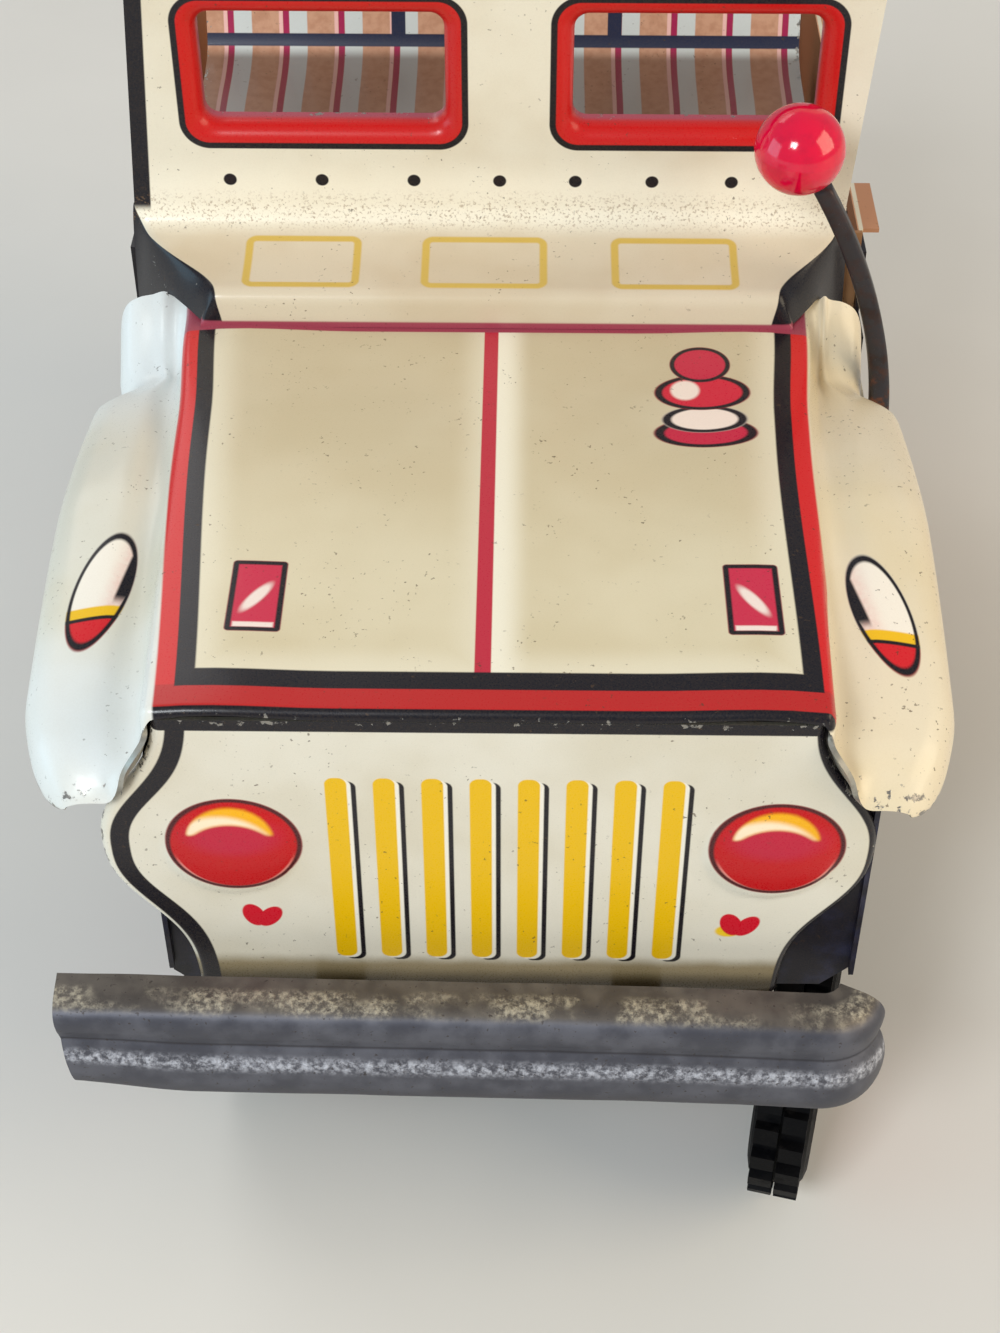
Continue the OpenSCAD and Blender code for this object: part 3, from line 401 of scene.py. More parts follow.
def tub_print(point, x, y, z):
    """Cream outside with a red line above the sill, a door line and a black post, tan inside and on the
    turned edge."""
    side = calc("ABSOLUTE", x)
    clouds = ease(grain(point, 0.06), 0.3, 0.75)
    door = print_patch(y, z, (30.0, 56.0), (11.5, 15.5), 3.0, 0.7)[1]
    inside = both(fade(side, 41.1, 41.2), fade(y, 81.75, 81.8))
    post = both(fade(y, 5.6, 5.8), ease(z, 66.0, 66.2))
    return over((233, 226, 204), (218, 207, 180), clouds, print_red, stripe(z, 37.0, 1.0),
                print_black, stripe(z, 34.9, 0.35), print_black, door, (206, 150, 112), inside,
                (196, 140, 104), ease(side, 41.6, 41.7), print_black, post)


floor_tan = lacquer((176, 132, 90), (140, 98, 64), 0.07, 0.35, 0.7)
apron_navy = lacquer((16, 16, 28), (40, 43, 70), 0.3, 0.4, 0.8, 5.0)
dress(painted_tin("cream_tub_tin", tub_print, 0.5), "side_panel_left", "side_panel_right", "rear_panel")
dress(painted_tin("tan_floor_tin", floor_tan, 0.5, 0.4), "floor_pan")
dress(painted_tin("navy_apron_tin", apron_navy, 0.5, 0.34, 0.4), "apron_left", "apron_right")

# Bench seat: one tin sheet bent up from the floor, back over the cushion, up the seat back and down again.
# Printed with striped cloth and navy piping; the inside is left as bare tin, as on every printed sheet.
bare_tin = metal("bare_tin", (176, 174, 166), (122, 112, 98), 0.42, 0.4, 0.8)


def spline(points, steps):
    """A smooth curve through points along the first axis. Each stretch is a cubic whose end slopes are the
    mean way of the neighbouring stretches times the stretch's length, so it doesn't swing out."""
    ways = np.diff(points, axis=0)
    size = np.linalg.norm(ways, axis=-1, keepdims=True)
    unit = ways / np.maximum(size, 1e-9)
    slope = np.concatenate([unit[:1], unit[:-1] + unit[1:], unit[-1:]])
    slope = slope / np.maximum(np.linalg.norm(slope, axis=-1, keepdims=True), 1e-9)
    share = np.linspace(0, 1, steps, endpoint=False).reshape((1, steps) + (1,) * (points.ndim - 1))
    start, end = points[:-1, None], points[1:, None]
    leave, arrive = (slope[:-1] * size)[:, None], (slope[1:] * size)[:, None]
    curve = (start * (2 * share**3 - 3 * share**2 + 1) + leave * (share**3 - 2 * share**2 + share)
             + end * (3 * share**2 - 2 * share**3) + arrive * (share**3 - share**2))
    return np.concatenate([curve.reshape((-1,) + points.shape[1:]), points[-1:]])


def arc(middle, radius, start, end, count):
    """Points round a circle from one angle to another, in degrees."""
    turn = np.radians(np.linspace(start, end, count))
    return np.stack([middle[0] + radius * np.cos(turn), middle[1] + radius * np.sin(turn)], axis=-1)


def thicken(piece, outside, sheet=0.5 * mm, side=-1.0):
    """Gives a sheet its thickness. The inner face and the cut edges are bare tin."""
    piece.data.materials.append(outside)
    piece.data.materials.append(bare_tin)
    wall = piece.modifiers.new("sheet", "SOLIDIFY")
    wall.thickness = sheet
    wall.offset = side
    wall.use_even_offset = True
    wall.material_offset = 1
    wall.material_offset_rim = 1


def stands_for(piece, body, node):
    """The piece rides on a body and takes a CAD node's place."""
    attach(piece, body)
    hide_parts(node)


seat_low, seat_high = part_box("seat")
cushion_y = seat_low.y + 21 * mm
cushion_front_z = hood_z - 1 * mm
cushion_rear_z = hood_z + 1.5 * mm
front_bend = 2 * mm
back_round = 2.5 * mm
seat_line = np.concatenate([
    [(seat_low.y, seat_low.z), (seat_low.y, seat_low.z + 8 * mm)],
    arc((seat_low.y + front_bend, cushion_front_z - front_bend), front_bend, 180, 97, 6),
    [(seat_low.y + 10 * mm, cushion_front_z + 1.2 * mm), (cushion_y - 3 * mm, cushion_rear_z - 0.6 * mm)],
    [(cushion_y - 0.7 * mm, cushion_rear_z + 0.4 * mm), (cushion_y + 0.3 * mm, cushion_rear_z + 2 * mm)],
    arc((seat_high.y - back_round, seat_high.z - back_round), back_round, 170, 0, 10),
    [(seat_high.y, seat_high.z - 12 * mm), (seat_high.y, seat_low.z)]])
seat_rows = spline(seat_line, 6)
seat_across = np.linspace(seat_low.x, seat_high.x, 49)
seat_x, seat_row_y = np.meshgrid(seat_across, seat_rows[:, 0])
seat_row_z = np.broadcast_to(seat_rows[:, 1:], seat_x.shape)
seat_edge = np.abs(seat_across / seat_high.x) ** 24
seat = shell("bench_seat", np.stack([seat_x, seat_row_y, seat_row_z], axis=-1), wear=[seat_edge[None, :]])
stripe_pitch = 7.1
stripe_start = 0.2


def seat_print(point, x, y, z):
    """Striped cloth: crimson, grey, orange and pink in turn across the seat, with navy piping on the back
    and along the joint; the cushion is darker and browner than the back: painted shade from the
    windscreen, over cloth a little browner than the back."""
    place = calc("FLOORED_MODULO", calc("SUBTRACT", x, stripe_start), stripe_pitch)
    colour = over((202, 154, 126), (188, 138, 110), ease(grain(point, 0.9), 0.35, 0.7))
    for ink, middle, half in (((204, 208, 206), 1.95, 1.15), ((163, 32, 80), 0.4, 0.4),
                              ((236, 186, 178), 6.85, 0.25)):
        colour = over(colour, ink, stripe(place, middle, half))
    # Painted shade: the cushion is darkened towards dark brown, partly as the windscreen's shade and partly
    # as a browner cloth.
    flat = fade(y, cushion_y / mm - 2, cushion_y / mm)
    colour = over(colour, (66, 42, 32), both(flat, 0.7))
    up = ease(y, cushion_y / mm - 0.2, cushion_y / mm + 0.2)
    navy = (34, 40, 66)
    for middle in (-13.4, 14.3):
        colour = over(colour, navy, both(stripe(x, middle, 0.9), up))
    joint = print_patch(z, y, (cushion_rear_z / mm + 1.4, cushion_y / mm), (0.7, 4.0))[0]
    return over(colour, navy, joint)


thicken(seat, painted_tin("striped_seat_tin", seat_print, 0.5, 0.36))
stands_for(seat, "chassis", "seat")


# Hood and front fenders: one deep pressing of printed tin. The flat hood falls on each side into a fender
# whose crest arches, whose outer edge is rolled down, and whose tip hangs over the front panel.
def soft_step(low, high, value):
    """A smooth step from 0 at low to 1 at high."""
    share = np.clip((value - low) / (high - low), 0, 1)
    return share * share * (3 - 2 * share)


hood_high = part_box("hood_fenders")[1]
hood_len = 60.0
hood_front_half = 31.0
hood_spread = 0.041
flare = 0.55
flare_start = 45.0
fender_half = 44.2
notch_half = 40.9
fender_end = hood_high.y / mm - grille_y / mm
fender_roll = 4.0
fender_rim = 0.8


def crest(v):
    """Height of the fender's crest against the hood, v behind the grille: an arch that is highest a little
    behind the middle of the hood, led into the hump beside the cowl."""
    summit = 0.55 * hood_len
    arch = -1.2 - 6.8 * (np.abs(v - summit) / summit) ** 1.5
    return arch + (0.2 - arch) * soft_step(hood_len - 1, hood_len + 8, v)


def fender_edge(v, hump):
    """Half width over a fender: full, drawn in at the cowl and a little at the tip. The hump beside the cowl
    can stand out further."""
    waist = soft_step(hood_len - 7.5, hood_len - 1, v)
    drawn = (notch_half - fender_half) * waist - 2.2 * (1 - soft_step(-1, 10, v))
    return fender_half + drawn + hump * soft_step(hood_len - 2, hood_len + 2, v)


def hood_edge(v):
    """Half width of the flat hood: a taper that opens a little more towards the cowl."""
    return hood_front_half + hood_spread * v + flare * soft_step(flare_start, hood_len, v)


# Shares of the hood's half width, the fender's half width and the crest at 12 points from the middle outwards
f = fender_roll
of_hood = np.array([0, 0.45, 1, 1, 1, 1, 0.5, 0, 0, 0, 0, 0])
of_fender = np.array([0, 0, 0, 0, 0, 0, 0.5, 1, 1, 1, 1, 1])
aside = np.array([0, 0, -1.2, -0.2, 0.5, 1.6, 0.8 - f / 2, -f, -0.6 * f, -0.25 * f, 0, 0])
of_crest = np.array([0, 0, 0, 0, 0.5, 1, 1, 1, 1, 1, 1, 1])
above = np.array([0, 0, 0, -0.25, -0.2, 0, 0.4, 0, -0.1 * f, -0.34 * f, -f, -f - fender_rim])
tip_radius = 4.5
nose_rows = 18
back_rows = 64
steps = 6
front_radius = np.array([1.0] * 4 + [2.5] + [tip_radius] * 7)
front_lead = np.array([0.0] * 4 + [0.6] + [1.2] * 7)
tip_low = crest(tip_radius) - f
turn = np.radians(np.concatenate([np.linspace(90, 4, nose_rows), np.zeros(back_rows)]))[:, None]
along = np.concatenate([np.zeros(nose_rows), np.linspace(tip_radius + 0.6, fender_end, back_rows)])[:, None]
at = np.where(turn > 0, front_radius * (1 - np.sin(turn)), along)
fall = 1 - np.cos(turn)
flat_height = crest(at) * of_crest + above
lowest = np.where(np.arange(12) < 4, flat_height - 1, tip_low + 0.2 * (flat_height - crest(at)))
lowest[:, 4:7] = tip_low * np.array([0.3, 0.6, 0.96])
drawn_in = np.array([0.0] * 3 + [0.5, 0.2, -0.6, 0.8] + [3.0] * 5) * fall
half_y = grille_y / mm + at - front_lead * fall
half_z = hood_z / mm + flat_height + (lowest - flat_height) * fall
halves = []
for hump in (1.5, 0.0):
    half_x = hood_edge(at) * of_hood + fender_edge(at, hump) * of_fender + aside - drawn_in
    halves.append(spline(np.moveaxis(np.stack([half_x, half_y, half_z], axis=-1), 1, 0), steps))
hood_points = np.moveaxis(np.concatenate([halves[0][:0:-1] * (-1, 1, 1), halves[1]]), 0, 1)
column = np.abs(np.arange(hood_points.shape[1]) - halves[1].shape[0] + 1) / steps
corner = np.exp(-(((column - 4.2) / 0.8) ** 2))[None, :] * soft_step(0.4, 0.9, fall)
rim = soft_step(10.2, 11, column)[None, :] * 0.75
fold = np.where(column < 4, 0.45, 0.5)[None, :] * soft_step(0.05, 0.6, fall)
hood = shell("hood_and_fenders", hood_points * mm, wear=[np.maximum(np.maximum(corner * 1.7, rim), fold)])
oval, given = new_group("print_oval", (
    "U", "V", "Middle U", "Middle V", "Half U", "Half V", "Tilt", "Line", "Blur"),
    ("Fill", "Outline", "Up", "Aside"))
from_u = calc("SUBTRACT", given["U"], given["Middle U"])
from_v = calc("SUBTRACT", given["V"], given["Middle V"])
cosine = calc("COSINE", given["Tilt"])
sine = calc("SINE", given["Tilt"])
own_u = calc("MULTIPLY_ADD", from_u, cosine, calc("MULTIPLY", from_v, sine))
own_v = calc("SUBTRACT", calc("MULTIPLY", from_v, cosine), calc("MULTIPLY", from_u, sine))
share_u = calc("DIVIDE", own_u, given["Half U"])
share_v = calc("DIVIDE", own_v, given["Half V"])
ring = calc("SQRT", calc("MULTIPLY_ADD", share_u, share_u, calc("MULTIPLY", share_v, share_v)))
border = calc("MULTIPLY", calc("SUBTRACT", ring, 1.0), calc("MINIMUM", given["Half U"], given["Half V"]))
put("NodeGroupOutput", {**inked(border, given["Line"], given["Blur"]), "Up": share_v, "Aside": share_u})


def print_oval(u, v, middle, half, tilt=0.0, line=0.0, blur=0.08):
    """A printed oval, in millimetres and degrees: the masks of its fill and outline, and the place in it."""
    feeds = dict(enumerate((u, v, *middle, *half, math.radians(tilt), line, blur)))
    made = put("ShaderNodeGroup", feeds, {"node_tree": oval}).outputs
    return made["Fill"], made["Outline"], made["Up"], made["Aside"]


def hood_print(point, x, y, z):
    """Cream panels with pale margins, framed by a black and a red line, a red line down the middle, a dull
    red band at the cowl, two latches, a filler lid, and an oval lamp on each fender. The panels darken
    towards the cowl with painted shade and have a painted highlight beside the middle line; the fenders
    carry painted light: a warm tint at +x, and a pale blue painted highlight and painted shade at -x."""
    v = calc("SUBTRACT", y, grille_y / mm)
    edge = calc("MULTIPLY_ADD", v, hood_spread, hood_front_half)
    edge = calc("ADD", edge, ease(v, flare_start, hood_len, 0.0, flare))
    printed_x = calc("SUBTRACT", x, ease(v, 0.0, 40.0, 1.05, -0.2))
    inset = calc("SUBTRACT", edge, calc("ABSOLUTE", printed_x))
    above_fold = ease(calc("SUBTRACT", z, hood_z / mm), -1.9, -1.5)
    on_hood = both(ease(inset, -0.15, 0.15), above_fold)
    from_middle = calc("ADD", x, 0.5)
    margin = calc("MINIMUM", calc("SUBTRACT", inset, 3.6), calc("SUBTRACT", v, 5.5))
    margin = calc("MINIMUM", margin, calc("ABSOLUTE", from_middle))
    # Painted highlight: a pale strip along the +x side of the middle line.
    bright = both(ease(from_middle, 0.4, 0.6), ease(from_middle, 1.2, 4.6, 0.85, 0.0))
    middle = print_patch(x, v, (-0.5, 33.0), (0.76, 28.0))[0]
    # Painted shade: the panels darken towards the cowl, from 12 to 60 mm behind the grille.
    panel = over((209, 196, 163), (218, 207, 177), ease(grain(point, 0.05), 0.35, 0.7),
                 (176, 158, 126), ease(v, 12.0, 60.0, 0.0, 0.4),
                 (230, 222, 198), ease(margin, 0.0, 4.0, 0.65, 0.0), (240, 234, 214), bright,
                 (188, 40, 62), middle)
    black = print_patch(inset, v, (30.0, 40.0), (28.2, 36.8))[0]
    inner = print_patch(inset, v, (30.0, 40.0), (26.4, 34.5), 0.0, 0.0, 0.12)[0]
    colour = over(print_red, (172, 36, 36), ease(v, 3.3, 3.6, 0.75, 0.0), print_black, black, panel, inner,
                  (158, 66, 84), ease(v, 59.5, 59.7), print_black, fade(v, 0.6, 0.75))
    for place, lean in ((-22.0, -32.0), (24.8, 32.0)):
        plate, frame_line = print_patch(x, v, (place, 15.6), (2.6, 5.0), 0.4, 0.55, 0.12)
        hook = print_oval(x, v, (place, 15.4), (0.62, 2.3), lean, 0.0, 0.2)[0]
        foot = print_patch(x, v, (place, 11.5), (1.9, 0.35), 0.0, 0.0, 0.15)[0]
        colour = over(colour, (200, 44, 74), plate, (240, 222, 212), calc("MAXIMUM", hook, foot),
                      print_black, frame_line)
    pale = (240, 222, 208)
    crimson = (196, 36, 66)
    for middle_v, half, ink in ((41.6, (5.3, 2.5), crimson), (43.9, (4.4, 2.3), pale),
                                (48.6, (5.0, 3.1), (206, 34, 58)), (53.6, (3.2, 3.2), crimson)):
        lid, lid_line = print_oval(x, v, (21.8, middle_v), half, 0.0, 0.5, 0.12)[:2]
        colour = over(colour, ink, lid, print_black, lid_line)
    shine = print_oval(x, v, (20.0, 49.0), (1.5, 1.7), 0.0, 0.0, 0.25)[0]
    colour = over(colour, pale, shine)
    from_top = calc("ABSOLUTE", calc("SUBTRACT", v, 32.0))
    on_right = fade(x, -34.0, -24.0)
    # Painted light on the fenders: a warm tint at +x; on the car's right fender, at -x, a pale blue painted
    # highlight towards its ends and painted shade over its middle.
    fender = over((224, 221, 208), (215, 208, 186), ease(grain(point, 0.06), 0.4, 0.7),
                  (222, 198, 152), ease(x, 24.0, 34.0, 0.0, 0.45),
                  (222, 229, 234), both(on_right, ease(from_top, 8.0, 30.0, 0.0, 0.55)),
                  (190, 184, 164), both(on_right, ease(from_top, 4.0, 20.0, 0.4, 0.0)))
    for place, lean in (((-37.6, 19.6), -12.0), ((37.6, 17.6), 15.0)):
        glass, glass_line, up, away = print_oval(x, v, place, (2.75, 7.2), lean, 0.35, 0.1)
        inwards = calc("MULTIPLY", away, 1.0 if place[0] < 0 else -1.0)
        blush = both(ease(inwards, -0.1, 0.8), grain(point, 1.6))
        slant = calc("MULTIPLY_ADD", inwards, -0.12, up)
        lens = over((238, 230, 216), (226, 170, 160), blush, (232, 184, 30), fade(slant, -0.32, -0.28),
                    print_black, fade(slant, -0.48, -0.45), (205, 30, 40), fade(slant, -0.54, -0.51))
        thick = both(glass, ease(inwards, 0.5, 0.62), ease(slant, -0.3, -0.1))
        fender = over(fender, lens, glass, print_black, calc("MAXIMUM", glass_line, thick))
    return over(fender, colour, on_hood)


thicken(hood, painted_tin("printed_hood_tin", hood_print, 0.9, 0.27))
stands_for(hood, "chassis", "hood_fenders")

# Front panel: a flat printed sheet with two ears for the lamps, which are pressed out as low domes. Its
# edges are rolled back and its foot is turned under to the base plate's front wall.
grille_low, grille_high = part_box("grille_panel")
foot_drop = 1.4
panel_h = (hood_z - grille_low.z) / mm + foot_drop
panel_start = (hood_z - grille_high.z) / mm
panel_top_w = 60.4
panel_foot_w = 58.0
ear_drop = 0.459 * (panel_h - foot_drop)
ear_span = 10.0
foot_radius = 3.0
edge_radius = 0.9
lamp_half = 6.2
lamp_dome = 0.8
panel_shift = 1.2
lamp_x = 51.3 / 2
panel_rows = 90
panel_columns = 151
edge_columns = 6


def panel_half(d):
    """Half width of the front panel, d below the hood: a taper with a bell-shaped swell at the ears."""
    taper, taper_at_ear = [(panel_top_w + (panel_foot_w - panel_top_w) * at / panel_h) / 2
                           for at in (d, ear_drop)]
    swell = grille_high.x / mm - taper_at_ear
    return taper + swell * np.exp(-((np.abs(d - ear_drop) / ear_span) ** 2.6))


foot_turn = np.radians(np.linspace(90, 5, 8))
foot_d = panel_h - foot_radius * (1 - np.sin(foot_turn))
panel_d = np.concatenate([foot_d, np.linspace(panel_h - foot_radius, panel_start, panel_rows)])[:, None]
panel_back = np.concatenate([foot_radius * (1 - np.cos(foot_turn)), np.zeros(panel_rows)])[:, None]
edge_turn = np.radians(np.concatenate([np.linspace(-90, -10, edge_columns), np.zeros(panel_columns),
                                       np.linspace(10, 90, edge_columns)]))
panel_share = np.concatenate([-np.ones(edge_columns), np.linspace(-1, 1, panel_columns),
                              np.ones(edge_columns)])
panel_x = panel_share * (panel_half(panel_d) - edge_radius) + edge_radius * np.sin(edge_turn)
panel_y = panel_back + edge_radius * (1 - np.cos(edge_turn))
for side in (-1, 1):
    away = np.hypot(panel_x - panel_shift - side * lamp_x, panel_d - ear_drop) / lamp_half
    panel_y = panel_y - lamp_dome * np.sqrt(np.clip(1 - away**2, 0, 1)) * np.clip(1.6 - 0.6 * away, 0, 1)
slant = np.gradient(panel_half(panel_d[:, 0]), -panel_d[:, 0])[:, None]
panel_rim = (panel_half(panel_d) - np.abs(panel_x)) / np.sqrt(1 + np.clip(slant, -3, 3) ** 2)
grille_points = np.stack([panel_x, grille_y / mm + panel_y, hood_z / mm - panel_d + 0 * panel_x], axis=-1)
grille_wear = np.maximum(soft_step(0.9, 0.1, panel_rim) * 0.6, soft_step(3.0, 1.2, panel_d) * 0.55)
grille = shell("front_panel", grille_points * mm, wear=[grille_wear], rim=[panel_rim])
bar_count = 8
bar_pitch = 4.46
bar_middle = 1.9


def grille_print(point, x, y, z):
    """Cream with a black band along the top and the left edge, eight yellow bars with black shadows, red
    lamps with a yellow arc, a small red mark below each lamp, and painted shade on the foot where it
    turns under."""
    d = calc("SUBTRACT", hood_z / mm, z)
    rim = mark(point, "rim")
    # Depth below the hood with a ragged edge, used for the painted shade on the foot.
    deep = calc("MULTIPLY_ADD", grain(point, 0.25), 0.8, d)
    askew = calc("MULTIPLY_ADD", d, 0.025, rim)
    left = print_patch(askew, x, (2.3, -30.0), (0.9, 29.0), 0.0, 0.0, 0.1)[0]
    right = print_patch(rim, x, (0.1, 30.0), (0.65, 29.0), 0.0, 0.0, 0.1)[0]
    # Painted shade: the foot darkens to olive and then dark brown where it turns under.
    colour = over((224, 218, 202), (214, 206, 186), ease(grain(point, 0.06), 0.4, 0.7),
                  (128, 108, 62), ease(deep, 33.5, 35.6, 0.0, 0.85),
                  (56, 46, 28), ease(deep, 35.6, 38.2, 0.0, 0.85),
                  print_black, left, print_black, right, print_black, fade(d, 2.3, 2.45))
    first = bar_middle - bar_count * bar_pitch / 2
    spot = calc("FLOORED_MODULO", calc("SUBTRACT", x, first), bar_pitch)
    within = stripe(x, bar_middle, bar_count * bar_pitch / 2)
    bar_d, bar_half = 21.0, (1.02, 12.7)
    for shift, ink in ((0.85, print_black), (0.38, (238, 232, 216)), (0.0, (232, 184, 8))):
        bar = print_patch(spot, d, (bar_pitch / 2 + shift - 0.3, bar_d + 0.5 * shift), bar_half, 0.85)[0]
        colour = over(colour, ink, both(bar, within))
    for place in (-24.0, 27.3):
        lamp, lamp_line, up, away = print_oval(x, d, (place, 17.2), (6.45, 5.95), 0.0, 0.45, 0.14)
        arc_out = print_oval(x, d, (place - 0.2, 16.2), (4.1, 3.95), 0.0, 0.0, 0.25)[0]
        arc_in = print_oval(x, d, (place - 0.2, 18.8), (4.8, 4.7), 0.0, 0.0, 0.3)[0]
        arc_pale = print_oval(x, d, (place - 1.0, 18.9), (5.4, 5.7), 0.0, 0.0, 0.4)[0]
        crescent = both(arc_out, calc("SUBTRACT", 1.0, arc_in), fade(d, 15.3, 15.9))
        glow = print_oval(x, d, (place, 15.9), (4.4, 2.2), 0.0, 0.0, 0.9)[0]
        foot_in = print_oval(x, d, (place, 16.85), (5.75, 5.9), 0.0, 0.0, 0.12)[0]
        foot = both(calc("SUBTRACT", 1.0, foot_in), ease(up, 0.15, 0.6))
        lens = over((190, 0, 14), (188, 28, 66), both(glow, 0.7), (238, 172, 18), crescent,
                    (250, 226, 192), both(crescent, arc_pale), (238, 158, 146), both(foot, 0.85))
        colour = over(colour, lens, lamp, (74, 16, 24), lamp_line)
    for place, depth, slip in ((-22.1, 27.7, 0.0), (24.5, 28.5, 1.0)):
        yellow = print_oval(x, d, (place - 1.0, depth + 0.85), (1.25, 0.85), 0.0, 0.0, 0.15)[0]
        left_lobe = print_oval(x, d, (place - 0.75, depth - 0.1), (1.05, 1.65), -19.0)[0]
        right_lobe = print_oval(x, d, (place + 0.8, depth + 0.1), (0.98, 1.65), 35.0)[0]
        colour = over(colour, (238, 196, 40), both(yellow, slip),
                      (204, 18, 42), calc("MAXIMUM", left_lobe, right_lobe))
    return colour


thicken(grille, painted_tin("printed_front_tin", grille_print, 0.85, 0.26))
stands_for(grille, "chassis", "grille_panel")

# Cowl and windscreen: one sheet. A low shelf steps up from the hood, its black flanks fall to the fenders,
# and behind a rounded fold the windscreen stands upright, its two windows drawn back as round lips.
screen_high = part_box("windscreen_panel")[1]
cowl_y = grille_y / mm + hood_len
screen_face = 12.5
screen_half = 39.4
screen_skew = -0.9
screen_lean = 0.065
screen_top = (screen_high.z - hood_z) / mm
fold_radius = 3.0
fold_line = arc((screen_face - fold_radius, 5.15 + fold_radius), fold_radius, -82, 0, 9)
shelf_line = np.concatenate([[(0.3, 0.06), (0.5, 1.8), (0.95, 3.4), (1.8, 4.05), (3.25, 4.2), (6.5, 4.5)],
                             fold_line])
shelf_line = spline(shelf_line, 5)
back_share = np.clip((shelf_line[:, :1] - 1.0) / (screen_face - 1.0), 0, 1)
shelf_h = shelf_line[:, 1:]
fold_z = shelf_line[-1, 1]
top_half = 29.7 + 0.7 * soft_step(0.0, 4.0, shelf_h) + 8.1 * soft_step(0.0, 1.0, back_share)
top_half = top_half + 0.9 * soft_step(5.2, 8.1, shelf_h)
shelf_foot = 32.3
foot_half = shelf_foot + (notch_half - 0.6 - shelf_foot) * back_share
flank_foot = np.minimum(shelf_h, 0.36 - 5.8 * soft_step(0.4, 1.0, back_share))
shelf_s = np.linspace(0, 1, 40)[None, :]
flank_q = np.linspace(0.1, 1, 10)[None, :]
half_shelf_x = np.concatenate([top_half * shelf_s, top_half + (foot_half - top_half) * flank_q], axis=1)
half_shelf_z = np.concatenate([shelf_h + 0 * shelf_s, shelf_h + (flank_foot - shelf_h) * flank_q**2], axis=1)
half_flank = np.concatenate([0 * shelf_s, flank_q], axis=1)
shelf_flank = np.concatenate([half_flank[:, :0:-1], half_flank], axis=1)
shelf_x = np.concatenate([-half_shelf_x[:, :0:-1], half_shelf_x], axis=1)
shelf_x = shelf_x + screen_skew * soft_step(0.0, 1.0, back_share)
shelf_z = np.concatenate([half_shelf_z[:, :0:-1], half_shelf_z], axis=1)
shelf_y = cowl_y + shelf_line[:, :1] + 0 * shelf_x
shelf_points = np.stack([shelf_x, shelf_y, hood_z / mm + shelf_z], axis=-1)
window_half = np.array([15.0, 8.3])
window_corner = 2.6
window_z = 15.5 + window_half[1]
window_gap = (9.9 + 30.0) / 2
lip_radius = 1.9
lip_depth = 3.5
per_side = 24
plate_rings = 12


def round_loop(middle, half, corner):
    """A rounded rectangle from its lower left corner on, counter-clockwise: each side runs from the middle of
    one corner's arc to the middle of the next, with as many points as the other sides."""
    spread = np.linspace(-1, 1, per_side, endpoint=False)
    out = np.abs(spread)
    straight = 0.8
    turn = np.radians(np.clip((out - straight) / (1 - straight), 0, 1) * 45)
    reach = half[0] - corner, half[1] - corner
    sides = []
    for angle, run, rise in ((-90, reach[0], half[1]), (0, reach[1], half[0]), (90, reach[0], half[1]),
                             (180, reach[1], half[0])):
        u = np.sign(spread) * (np.minimum(out / straight, 1) * run + corner * np.sin(turn))
        w = rise - corner * (1 - np.cos(turn))
        c, s = math.cos(math.radians(angle)), math.sin(math.radians(angle))
        sides.append(np.stack([middle[0] + w * c - u * s, middle[1] + w * s + u * c], axis=-1))
    return np.concatenate(sides)


def window_plate(middle_x, left, right):
    """Half of the windscreen: rings from the plate's border to the window's outline, then round the lip."""
    border = round_loop(((left + right) / 2, (fold_z + screen_top) / 2),
                        ((right - left) / 2, (screen_top - fold_z) / 2), 0.02)
    border[:, 0] += screen_lean * (border[:, 1] - fold_z)
    outline = round_loop((middle_x, window_z), window_half, window_corner)
    share = np.linspace(0, 1, plate_rings)[:, None, None]
    plate = border + (outline - border) * share
    lip_turn = np.radians(np.linspace(10, 90, 9))
    inwards = np.append(lip_radius * np.sin(lip_turn), lip_radius)
    backwards = np.append(lip_radius * (1 - np.cos(lip_turn)), lip_depth)
    lips = np.stack([round_loop((middle_x, window_z), window_half - step, window_corner - 0.5 * step)
                     for step in inwards])
    flat = np.concatenate([plate, lips])
    depth = np.concatenate([np.zeros(plate_rings), backwards])[:, None] + 0 * flat[..., 0]
    return np.stack([flat[..., 0], cowl_y + screen_face + depth, hood_z / mm + flat[..., 1]], axis=-1)


def plate_wear(ring):
    """Wear of half of the windscreen: high along the sheet's outer edges, and growing round the lip."""
    x, h = ring[..., 0] - screen_skew, ring[..., 2] - hood_z / mm
    lean = screen_lean * (h - fold_z)
    inside = np.minimum(screen_half - np.abs(x - lean), screen_top - h)
    lip = np.clip((ring[..., 1] - cowl_y - screen_face) / lip_depth, 0, 1)
    return np.maximum(0.5 * soft_step(0.5, 0.0, inside), 0.6 * lip)


plates = []
for side, left, right in ((-1, screen_skew - screen_half, panel_shift),
                          (1, panel_shift, screen_skew + screen_half)):
    ring = window_plate(panel_shift + side * window_gap, left, right)
    plates.append(np.concatenate([ring, ring[:, :1]], axis=1))
screen = shell("cowl_and_windscreen", shelf_points * mm, *[plate * mm for plate in plates],
               wear=[0.35 * soft_step(0.0, 0.2, shelf_flank), *[plate_wear(plate) for plate in plates]],
               flank=[shelf_flank, 0.0, 0.0])


